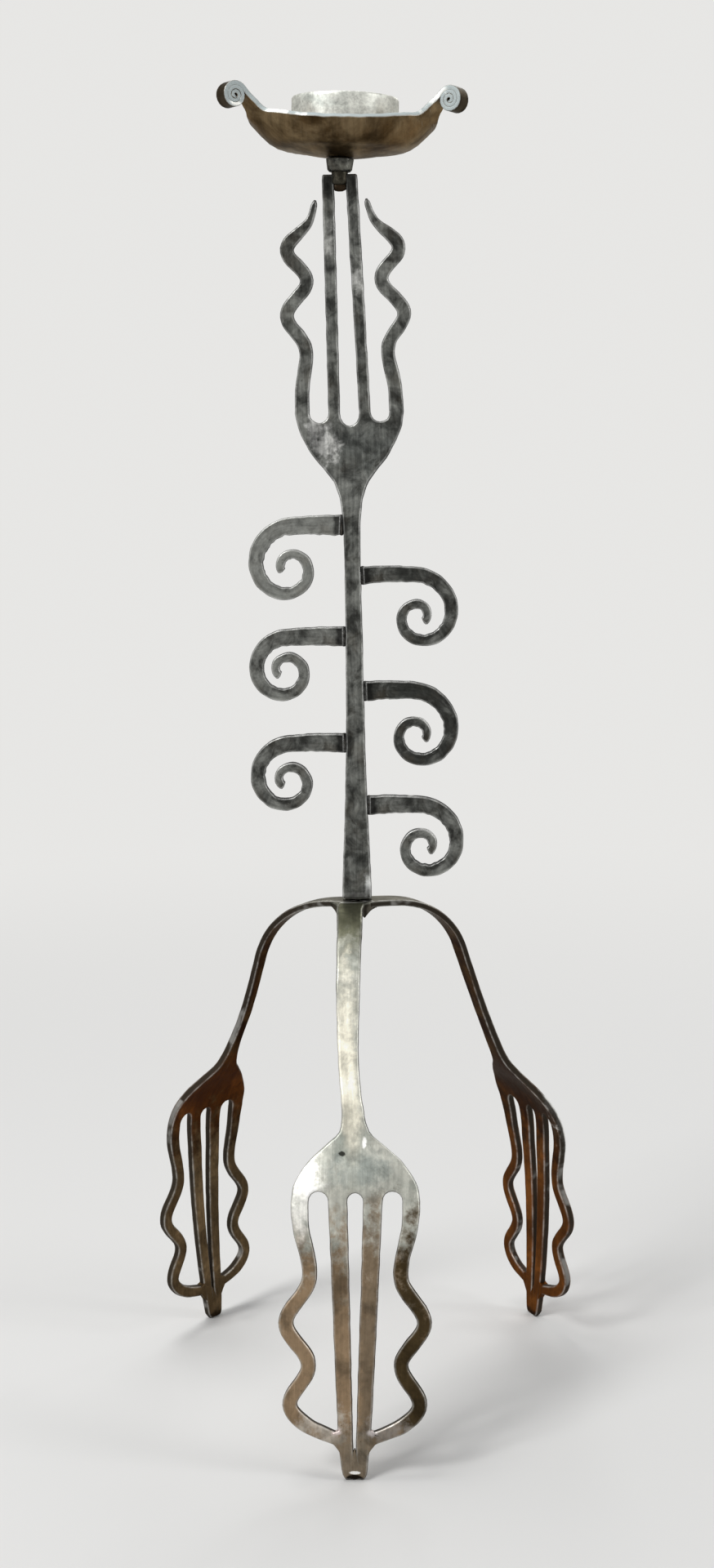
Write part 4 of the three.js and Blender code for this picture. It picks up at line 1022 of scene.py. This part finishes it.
# Of each scroll: its side, its height on the handle, the bar's width, its straight run and that run's
# rise in degrees, the curl's first and last radius, how it tightens, its turn in degrees, how rough
# its lower edge is, and its share of pale steel
SCROLL_SIZES = ("side", "height", "bar", "run", "rise", "open", "close", "ease", "turn", "rough", "pale")
SCROLLS = {
    "left_1": (-1, 106.3, 5.6, 13.0, 2.4, 11.6, 2.45, 1.4, 489, 0.34, 0.72),
    "left_2": (-1, 75.2, 5.5, 15.6, 3.3, 9.5, 2.0, 1.1, 510, 0.2, 0.5),
    "left_3": (-1, 45.0, 5.4, 14.8, 3.6, 10.6, 2.35, 1.35, 510, 0.26, 0.42),
    "right_1": (1, 92.2, 4.9, 13.8, 4.0, 11.7, 2.35, 1.65, 506, 0.26, 0.32),
    "right_2": (1, 59.7, 5.5, 12.4, 3.9, 12.6, 2.9, 1.75, 493, 0.24, 0.22),
    "right_3": (1, 27.0, 5.4, 13.6, 3.9, 12.0, 2.55, 1.6, 506, 0.26, 0.42),
}


def curl_path(shape, curl_steps=360):
    """Stations (length, x, y, heading) of a curl: a straight run that arches over, then a tightening bend."""
    heading = math.radians(shape["rise"])
    stations = [(0.0, 0.0, 0.0, heading)]

    def move(length, bend):
        gone, x, y, way = stations[-1]
        middle = way - bend / 2
        x += length * math.cos(middle)
        y += length * math.sin(middle)
        stations.append((gone + length, x, y, way - bend))

    for _ in range(12):
        move(shape["run"] / 12, 2 * heading / 12)
    for i in range(curl_steps):
        left = 1 - (i + 0.5) / curl_steps
        bend = math.radians(shape["turn"]) / curl_steps
        move((shape["close"] + (shape["open"] - shape["close"]) * left ** shape["ease"]) * bend, bend)
    return stations


def station_at(stations, s):
    """Point and heading at a length along a curl, straight on past its ends."""
    if s <= 0:
        _, x, y, _ = stations[0]
        return x + s, y, 0.0
    low, high = 0, len(stations) - 1
    while high - low > 1:
        half = (low + high) // 2
        low, high = (half, high) if stations[half][0] <= s else (low, half)
    (s0, x0, y0, w0), (s1, x1, y1, w1) = stations[low], stations[high]
    t = (s - s0) / (s1 - s0)
    return mix(x0, x1, t), mix(y0, y1, t), mix(w0, w1, t)


def scroll_steel(name, shape):
    """A scroll's steel: the bars left paler or darker by the fire, the root beside the weld darkest."""
    tones = {
        "Dark": tone(0.035, 0.036, 0.033), "Light": tone(0.22, 0.225, 0.21),
        "Stain": tone(0.07, 0.058, 0.043),
        "Patch size": 5.0, "Light share": shape["pale"], "Stain share": 0.4,
        "Streaks": 0.3, "Scratches": 0.5, "Pits": 0.7,
        # the side tone paints the cut walls dark as shade; rims and walls get painted highlights
        "Rim tone": tone(0.9, 0.9, 0.88), "Side tone": tone(0.018, 0.018, 0.017),
        "Rim wear and highlight": 0.95, "Painted wall shine": 0.6,
    }
    root = ((0, -0.5, 0), (10, 1.6, 10), tone(0.02, 0.02, 0.019), 0.5, 0.4, 0.85)
    return steel_material("Scroll steel " + name, tones, [root], bump=0.5)


scroll_bead_metal = steel_material(
    "Scroll bead metal",
    {
        "Dark": tone(0.02, 0.02, 0.019), "Light": tone(0.11, 0.11, 0.105), "Stain": tone(0.05, 0.04, 0.03),
        "Patch size": 2.5, "Light share": 0.4, "Stain share": 0.4,
        "Streaks": 0.2, "Scratches": 0.2, "Pits": 0.6,
    },
    coords="object", rough=0.1, bump=0.8,
)
for seed, (name, sizes) in enumerate(SCROLLS.items()):
    shape = dict(zip(SCROLL_SIZES, sizes))
    side = shape["side"]
    edge = side * stem_half(shape["height"]) + stem_drift(shape["height"])
    bar_end = edge + side * SCROLL_WELD
    middle = STEM_FOOT + shape["height"]
    stations = curl_path(shape)
    length = stations[-1][0]
    half_at = smooth_through([(0, shape["bar"] / 2), (length, SCROLL_TIP / 2)])
    top = [Vector((half_at(s), s)) for s in spaced(-0.7, length - 0.5, 110)]
    bottom = [Vector((-half_at(s), s)) for s in spaced(length - 0.5, -0.7, 110)]
    tip_half = SCROLL_TIP / 2
    end_cap = [(0.72, 0.12), (0.2, 0), (-0.5, 0.1)]
    end_cap = [Vector((tip_half * across, length - back)) for across, back in end_cap]
    rough_top = hand_filed(top, seed + 20, 0.16, 0.45)
    rough_bottom = hand_filed(bottom, seed + 30, shape["rough"], 0.6)
    along_cuts = [0.75 + 0.8 * i for i in range(int(length / 0.8) - 1)]
    bm = cut_blank(rough_top + end_cap + rough_bottom, SCROLL_THICK, 0.5, [0.03], along_cuts)

    def scroll_place(w, s, n, side=side, bar_end=bar_end, middle=middle, stations=stations):
        x, y, heading = station_at(stations, s)
        return Vector((
            bar_end + side * (x - math.sin(heading) * w),
            -n,
            middle + y + math.cos(heading) * w,
        ))

    bend_blank(bm, scroll_place)
    finish_piece("scroll_bar_" + name, bm, scroll_steel(name, shape), ["scroll_" + name])
    bm = bmesh.new()
    across = Vector((edge + side * SCROLL_WELD * 0.35, 0, middle))
    for i, lift in enumerate(spaced(-0.42, 0.42, 7)):
        spot = across + Vector((0, 0, lift * shape["bar"]))
        melted_lump(bm, spot, (0.62, 1.12, 0.6), 0.85, 0.14, seed * 7 + i)
    bead = finish_piece("scroll_bead_" + name, bm, scroll_bead_metal, ["scroll_weld_" + name])
    melt_together(bead, 0.2, 4)

# Pin, its braze and the collar
# A turned steel pin stands between the stem's centre tines, brazed there, and carries the collar, the pan
# and the cup, which a nut clamps down. The collar is turned, dark, wider at the top, with a chamfered foot.
HEAD_TILT_FRONT = 1.0
HEAD_TILT_RIGHT = 2.6
STUD_RADIUS = 2.2
STUD_SEAT = 2.7
COLLAR_LIFT = 0.6
COLLAR_HEIGHT = 3.5
COLLAR_TOP = 3.75
COLLAR_FOOT = 3.35
PAN_SHEET = 1.35
PAN_CURVE = 53
CUP_RADIUS = 14.4
CUP_FLOOR = 2.0
head = (
    Matrix.Translation(stem_place(0, STEM_END, 0))
    @ Matrix.Rotation(math.radians(HEAD_TILT_FRONT), 4, "X")
    @ Matrix.Rotation(math.radians(HEAD_TILT_RIGHT), 4, "Y")
)
PAN_UNDER = COLLAR_LIFT + COLLAR_HEIGHT + 0.15


def pan_under_at(r):
    return PAN_UNDER + r * r / (2 * PAN_CURVE)


CUP_FOOT = pan_under_at(CUP_RADIUS) + PAN_SHEET + 0.3
CUP_FLOOR_TOP = CUP_FOOT + CUP_FLOOR
NUT_HEIGHT = 3.2
NUT_FOOT = CUP_FLOOR_TOP + 0.15
STUD_TOP = NUT_FOOT + NUT_HEIGHT + 0.9


def turned_piece(profile, steps=72, wobble=0.0, seed=0, centre=(0, 0)):
    """A piece turned on a lathe from its profile of (radius, height) points, its skin a little uneven."""
    bm = bmesh.new()
    points = [bm.verts.new((r, 0, z)) for r, z in profile]
    edges = [bm.edges.new(pair) for pair in zip(points, points[1:])]
    bmesh.ops.spin(
        bm, geom=points + edges, cent=(0, 0, 0), axis=(0, 0, 1), dvec=(0, 0, 0), angle=2 * math.pi,
        steps=steps, use_merge=True, use_duplicate=False,
    )
    bmesh.ops.remove_doubles(bm, verts=bm.verts, dist=1e-4)
    shift = Vector((seed, seed * 0.7, seed * 1.3))
    for v in bm.verts:
        out = v.co.copy()
        out.z = 0
        if out.length > 0.1:
            v.co += out.normalized() * wobble * noise.noise(v.co * 0.25 + shift)
        v.co.x += centre[0]
        v.co.y += centre[1]
    return bm


pin_steel = steel_material(
    "Pin steel",
    {
        "Dark": tone(0.03, 0.027, 0.02), "Light": tone(0.14, 0.13, 0.1), "Stain": tone(0.08, 0.06, 0.035),
        "Patch size": 4.0, "Light share": 0.35, "Stain share": 0.5,
        "Streaks": 0.5, "Scratches": 0.4, "Pits": 0.4,
    },
    coords="object", bump=0.4,
)
pin_braze_metal = steel_material(
    "Pin braze metal",
    {
        "Dark": tone(0.03, 0.02, 0.012), "Light": tone(0.1, 0.075, 0.05), "Stain": tone(0.06, 0.035, 0.015),
        "Patch size": 3.0, "Light share": 0.35, "Stain share": 0.5,
        "Streaks": 0.1, "Scratches": 0.1, "Pits": 0.4,
    },
    coords="object", rough=0.1, bump=0.5,
)
thread = []
for i in range(int((STUD_TOP - 0.6 - CUP_FLOOR_TOP) / 0.35)):
    thread.append((STUD_RADIUS - (0.22 if i % 2 else 0.0), CUP_FLOOR_TOP + 0.35 * i))
pin = turned_piece(
    [(0, -STUD_SEAT), (STUD_RADIUS - 0.5, -STUD_SEAT), (STUD_RADIUS - 0.12, -STUD_SEAT + 0.18)]
    + [(STUD_RADIUS, z) for z in (-STUD_SEAT + 0.5, -1.5, 0.0, 3.0, 6.0)]
    + thread
    + [(STUD_RADIUS, STUD_TOP - 0.4), (STUD_RADIUS - 0.4, STUD_TOP), (0, STUD_TOP)],
    48, 0.05, 2,
)
finish_piece("threaded_pin", pin, pin_steel, ["pan_stud"], head)
bm = bmesh.new()
spot, turn = frame_at(stem_place, 0, STEM_END - STUD_SEAT - 0.35)
melted_lump(bm, spot, (STEM_TOP_GAP / 2 + 0.35, 1.3, 1.2), 0.72, 0.08, 5, 4, turn)
finish_piece("pin_braze", bm, pin_braze_metal, ["stud_braze"])

collar_steel = steel_material(
    "Collar steel",
    {
        "Dark": tone(0.024, 0.024, 0.022), "Light": tone(0.2, 0.2, 0.175), "Stain": tone(0.06, 0.05, 0.035),
        "Patch size": 6.0, "Light share": 0.4, "Stain share": 0.4,
        "Streaks": 0.4, "Scratches": 0.5, "Pits": 0.3,
    },
    coords="object", rough=-0.08, bump=0.3,
)
inner_r = STUD_RADIUS + 0.02
collar_end = COLLAR_LIFT + COLLAR_HEIGHT
collar = turned_piece(
    [
        (inner_r, COLLAR_LIFT), (COLLAR_FOOT - 0.65, COLLAR_LIFT), (COLLAR_FOOT - 0.5, COLLAR_LIFT + 0.05),
        (COLLAR_FOOT - 0.06, COLLAR_LIFT + 0.5), (COLLAR_FOOT, COLLAR_LIFT + 0.65),
        (mix(COLLAR_FOOT, COLLAR_TOP, 0.5), COLLAR_LIFT + 1.9), (COLLAR_TOP, collar_end - 0.3),
        (COLLAR_TOP - 0.05, collar_end - 0.08), (COLLAR_TOP - 0.3, collar_end), (inner_r, collar_end),
        (inner_r, COLLAR_LIFT),
    ],
    64, 0.03, 4,
)
finish_piece("turned_collar", collar, collar_steel, ["collar"], head)

# Drip pan
# A three-cornered piece of sheet, dished over a stake, each corner drawn out into a tongue and rolled
# up outwards. Dark brown underneath with paler bands, pale on top, the cut rim filed bright.
PAN_HALF_SIDE = 24
PAN_CORNER = 27.4
PAN_LIP = 2.0
PAN_CORNER_LIP = 3.2
PAN_TURN = 3
PAN_OFF_CENTRE = 0.6
LIP_START = 16
TONGUE_START = 25.6
ROLL = dict(run=8.5, rise=0, open=3.05, close=0.32, ease=1, turn=1000)
ROLL_WIDTH = 4.7
PAN_FULLER = 0.8
corner_angles = [math.radians(a + PAN_TURN) for a in (-30, 90, 210)]


def corner_share(angle):
    shares = []
    for corner in corner_angles:
        apart = abs((angle - corner + math.pi) % (2 * math.pi) - math.pi)
        shares.append(max(0.0, 1 - math.degrees(apart) / 60))
    return max(shares) ** 2


def pan_height(r, share):
    rim = mix(PAN_HALF_SIDE, PAN_CORNER, share)
    lip = max(0.0, (r - LIP_START) / (rim - LIP_START)) ** 2
    fuller = math.sin(math.pi * min(1.0, max(0.0, (r - 13) / (rim - 13)))) ** 2
    return pan_under_at(r) + mix(PAN_LIP, PAN_CORNER_LIP, share) * lip - PAN_FULLER * fuller


def pan_slope(r, share):
    return math.atan((pan_height(r + 0.1, share) - pan_height(r - 0.1, share)) / 0.2)


corner_slope = pan_slope(TONGUE_START, 1)
roll_stations = curl_path(ROLL)
roll_length = roll_stations[-1][0]


def pan_place(x, y, n):
    r = math.hypot(x, y)
    angle = math.atan2(y, x)
    share = corner_share(angle)
    slope = pan_slope(r, share) if r > 0.5 else 0.0
    lift = n + PAN_SHEET / 2
    dish = Vector((
        (r - lift * math.sin(slope)) * math.cos(angle),
        (r - lift * math.sin(slope)) * math.sin(angle),
        pan_height(r, share) + lift * math.cos(slope),
    ))
    corner = min(corner_angles, key=lambda c: abs((angle - c + math.pi) % (2 * math.pi) - math.pi))
    forward = x * math.cos(corner) + y * math.sin(corner)
    sideways = -x * math.sin(corner) + y * math.cos(corner)
    inward = ease(9.5, 3.2, abs(sideways))
    share_rolled = ease(TONGUE_START - 5, TONGUE_START + 1.5, forward) * inward
    if share_rolled <= 0:
        return dish
    px, py, heading = station_at(roll_stations, forward - TONGUE_START)
    thin = mix(1.0, 0.8, ease(TONGUE_START + 6, TONGUE_START + 22, forward))
    px -= math.sin(heading) * n * thin
    py += math.cos(heading) * n * thin
    start_r = TONGUE_START - PAN_SHEET / 2 * math.sin(corner_slope)
    start_z = pan_height(TONGUE_START, 1) + PAN_SHEET / 2 * math.cos(corner_slope)
    out = start_r + px * math.cos(corner_slope) - py * math.sin(corner_slope)
    up = start_z + px * math.sin(corner_slope) + py * math.cos(corner_slope)
    rolled = Vector((
        out * math.cos(corner) - sideways * math.sin(corner),
        out * math.sin(corner) + sideways * math.cos(corner),
        up,
    ))
    return dish.lerp(rolled, share_rolled)


# Half of a side's outline, from its middle to the tongue: degrees from the corner, and radius
flank = smooth_through(
    [(-60, 24.0), (-42, 24.25), (-28, 24.95), (-19, 25.7), (-12.5, 26.6), (-8.6, 27.9), (-6.0, 30.2)]
)
flank_degrees = spaced(-60, -6.0, 40)[:-1]
tongue_end = TONGUE_START + roll_length


def towards(angle, r):
    return Vector((r * math.cos(angle), r * math.sin(angle)))


outline = []
for corner in corner_angles:
    outline += [towards(corner + math.radians(d), flank(d)) for d in flank_degrees]
    first = outline[-1]
    tongue_root = first.x * math.cos(corner) + first.y * math.sin(corner)
    root_half = abs(-first.x * math.sin(corner) + first.y * math.cos(corner))
    tongue = [(f, -1) for f in spaced(tongue_root + 0.6, tongue_end, 40)]
    tongue += [(f, 1) for f in spaced(tongue_end, tongue_root + 0.6, 40)]
    for f, side in tongue:
        half = mix(root_half, ROLL_WIDTH / 2, ease(tongue_root, tongue_root + 4, f))
        outline.append(towards(corner, f) + towards(corner + math.pi / 2, side * half))
    outline += [towards(corner - math.radians(d), flank(d)) for d in reversed(flank_degrees[1:])]
outline = hand_filed(outline, 5, 0.18, 0.3)
across_cuts = [-26.03 + 2.1 * i for i in range(26)]
along_cuts = [-26.07 + 2.1 * i for i in range(26)]
bm = cut_blank(outline, PAN_SHEET, 0.2, across_cuts, along_cuts, 2)
for corner in corner_angles:
    way = Vector((math.cos(corner), math.sin(corner), 0))
    for forward in spaced(TONGUE_START - 3, tongue_end - 0.3, 54):
        everything = bm.verts[:] + bm.edges[:] + bm.faces[:]
        bmesh.ops.bisect_plane(bm, geom=everything, dist=1e-4, plane_co=way * forward, plane_no=way)
blank_layer = bm.verts.layers.float_vector["blank"]
for v in bm.verts:
    v[blank_layer] = v.co * MM
bend_blank(bm, pan_place)
pan_steel = steel_material(
    "Pan steel",
    {
        "Dark": tone(0.05, 0.029, 0.011), "Light": tone(0.23, 0.165, 0.09), "Stain": tone(0.14, 0.07, 0.02),
        "Patch size": 12.0, "Light share": 0.5, "Stain share": 0.5,
        "Streaks": 0.2, "Mottle": 0.2, "Scratches": 0.3, "Pits": 0.3,
        "Rim tone": tone(0.8, 0.8, 0.76), "Side tone": tone(0.52, 0.58, 0.58),
        "Rim wear and highlight": 0.6, "Painted wall shine": 1.0,
    },
    patches=[
        ((45 * math.cos(c), 45 * math.sin(c), 0), (13.5, 13.5, 10), tone(0.03, 0.026, 0.02), 0.15, 0.15, 0.9)
        for c in corner_angles
    ] + [
        ((-0.5, -7.5, -1), (3.5, 8, 1), tone(0.02, 0.01, 0.003), 0.5, 0.5, 0.85),
        ((9, -9, -1), (3, 9, 1), tone(0.03, 0.015, 0.005), 0.6, 0.6, 0.7),
    ],
)
pan_spot = head @ Matrix.Translation((PAN_OFF_CENTRE, 0, 0))
finish_piece("rolled_drip_pan", bm, pan_steel, ["drip_pan"], pan_spot)

# Candle cup and its nut
# A short round cup, turned from pale satin steel, a little off the pan's middle, its rim eased over. The nut
# and the pin's end stand on its floor, inside, and clamp the cup and the pan down on the collar.
CUP_HEIGHT = 11.7
CUP_WALL = 2.0
CUP_OFF_CENTRE = 1.1
cup_top = CUP_FOOT + CUP_HEIGHT
cup_in = CUP_RADIUS - CUP_WALL
floor_bore = STUD_RADIUS + CUP_OFF_CENTRE + 0.12
cup = turned_piece(
    [
        (floor_bore, CUP_FLOOR_TOP), (cup_in - 0.6, CUP_FLOOR_TOP), (cup_in - 0.15, CUP_FLOOR_TOP + 0.15),
        (cup_in, CUP_FLOOR_TOP + 0.6), (cup_in, CUP_FLOOR_TOP + 4), (cup_in, cup_top - 0.5),
        (cup_in + 0.12, cup_top - 0.15), (cup_in + 0.45, cup_top), (CUP_RADIUS - 0.6, cup_top),
        (CUP_RADIUS - 0.2, cup_top - 0.12), (CUP_RADIUS - 0.03, cup_top - 0.45),
        (CUP_RADIUS, cup_top - 1.0), (CUP_RADIUS, mix(CUP_FOOT, cup_top, 0.5)),
        (CUP_RADIUS, CUP_FOOT + 0.5), (CUP_RADIUS - 0.15, CUP_FOOT + 0.15), (CUP_RADIUS - 0.5, CUP_FOOT),
        (floor_bore, CUP_FOOT), (floor_bore, CUP_FLOOR_TOP),
    ],
    112, 0.14, 7, (CUP_OFF_CENTRE, 0),
)
cup_steel = steel_material(
    "Cup steel",
    {
        "Dark": tone(0.3, 0.29, 0.26), "Light": tone(0.66, 0.67, 0.62), "Stain": tone(0.45, 0.5, 0.47),
        "Patch size": 9.0, "Light share": 0.7, "Stain share": 0.5,
        "Streaks": 0.25, "Scratches": 0.3, "Pits": 0.4,
    },
    coords="object", rough=0.04, bump=0.25,
)
finish_piece("turned_candle_cup", cup, cup_steel, ["candle_cup"], head)

NUT_ACROSS_FLATS = 8
nut_half = NUT_ACROSS_FLATS / math.cos(math.radians(30)) / 2
bm = bmesh.new()
bmesh.ops.create_cone(bm, cap_ends=True, segments=6, radius1=nut_half, radius2=nut_half, depth=NUT_HEIGHT)
bmesh.ops.translate(bm, verts=bm.verts, vec=(0, 0, NUT_FOOT + NUT_HEIGHT / 2))
caps = [f for f in bm.faces if abs(f.normal.z) > 0.9]
bmesh.ops.inset_region(bm, faces=caps, thickness=0.7, depth=0.0)
rims = [v for v in bm.verts if abs(math.hypot(v.co.x, v.co.y) - nut_half) < 0.01]
rim_edges = [e for e in bm.edges if e.verts[0] in rims and e.verts[1] in rims]
bmesh.ops.bevel(
    bm, geom=rims + rim_edges, offset=0.35, segments=3, profile=0.5, affect="EDGES", material=-1,
)
finish_piece("cup_clamp_nut", bm, pin_steel, ["cup_nut"], head)

# Ground, light and camera
# A pale floor, four soft lamps and the photograph's own viewpoint. Away from the object the floor
# turns into the even tone of the backdrop.
PALE = tone(0.8, 0.795, 0.78)
LEVEL_FROM, LEVEL_TO = 0.25, 0.8


def backdrop_rays(w):
    """1 for the rays that show the backdrop: the camera's own, and those seen in or through the object."""
    rays = w.add("LightPath").outputs
    seen_in_object = w.maths("MAXIMUM", rays["Is Glossy Ray"], rays["Is Transmission Ray"])
    return w.maths("MAXIMUM", rays["Is Camera Ray"], seen_in_object)


floor_material = bpy.data.materials.new("Pale floor")
floor_material.use_nodes = True
floor_material.node_tree.nodes.clear()
w = Wires(floor_material.node_tree)
reach = w.add("VectorMath", {0: w.add("TexCoord").outputs["Object"]}, operation="LENGTH").outputs["Value"]
far = w.maths("MULTIPLY", w.span(reach, LEVEL_FROM, LEVEL_TO), backdrop_rays(w))
matt = w.add("BsdfDiffuse", {"Color": PALE})
level = w.add("Emission", {"Color": PALE, "Strength": 1.0})
shown = w.add("MixShader", {0: far, 1: matt.outputs[0], 2: level.outputs[0]})
w.add("OutputMaterial", {"Surface": shown.outputs[0]})
bm = bmesh.new()
bmesh.ops.create_grid(bm, x_segments=1, y_segments=1, size=6.0)
mesh = bpy.data.meshes.new("ground")
bm.to_mesh(mesh)
bm.free()
mesh.materials.append(floor_material)
ground = bpy.data.objects.new("ground", mesh)
bpy.context.scene.collection.objects.link(ground)
ground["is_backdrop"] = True

world = bpy.data.worlds.new("Studio")
bpy.context.scene.world = world
world.use_nodes = True
world.node_tree.nodes.clear()
w = Wires(world.node_tree)
seen = w.add("Background", {"Color": PALE, "Strength": 1.0})
lit = w.add("Background", {"Color": tone(0.95, 0.97, 1.0), "Strength": 0.19})
backdrop = w.add("MixShader", {0: backdrop_rays(w), 1: lit.outputs[0], 2: seen.outputs[0]})
w.add("OutputWorld", {"Surface": backdrop.outputs[0]})


LAMP_AIM = Vector((0, 0, 0.2))


def soft_lamp(name, position, size, power):
    lamp = bpy.data.lights.new(name, "AREA")
    lamp.shape = "RECTANGLE"
    lamp.size, lamp.size_y = size
    lamp.energy = power
    made = bpy.data.objects.new(name, lamp)
    made.location = position
    made.rotation_euler = (LAMP_AIM - Vector(position)).to_track_quat("-Z", "Y").to_euler()
    bpy.context.scene.collection.objects.link(made)


soft_lamp("key lamp", (-0.8, -0.75, 1.1), (0.45, 0.6), 11)
soft_lamp("top lamp", (-0.25, 0.15, 1.5), (0.7, 0.5), 6)
soft_lamp("fill lamp", (1.2, -0.3, 0.6), (0.3, 1.0), 4)
soft_lamp("back lamp", (0.4, 1.1, 0.9), (1.2, 0.5), 6)

# The photograph's height and the camera's focal length, both in its pixels, and where the camera stood
PHOTO_HEIGHT = 1920
FOCAL_LENGTH = 2444.97
SENSOR = 36
CAMERA_STAND = Vector((0.553, -560.145, 271.658))
camera = bpy.data.cameras.new("camera")
camera.sensor_fit = "VERTICAL"
camera.sensor_width = SENSOR
camera.sensor_height = SENSOR
camera.lens = SENSOR * FOCAL_LENGTH / PHOTO_HEIGHT
camera.clip_start = 0.01
yaw, pitch, roll = math.radians(3.551), math.radians(9.553), -0.022982
forward = Vector((0, math.cos(pitch), -math.sin(pitch)))
up = Vector((0, math.sin(pitch), math.cos(pitch)))
right = Vector((1, 0, 0))
image_right = right * math.cos(roll) + up * math.sin(roll)
image_up = up * math.cos(roll) - right * math.sin(roll)
turn = Matrix((image_right, image_up, -forward)).transposed().to_4x4()
stand_yaw = Matrix.Rotation(yaw, 4, "Z")
place = stand_yaw @ Matrix.Translation(CAMERA_STAND * MM) @ turn
camera_object = bpy.data.objects.new("camera", camera)
camera_object.matrix_world = Matrix.Translation(axis_place.translation * MM) @ place
bpy.context.scene.collection.objects.link(camera_object)
bpy.context.scene.camera = camera_object
bpy.context.scene.view_settings.view_transform = "Standard"

low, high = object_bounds()
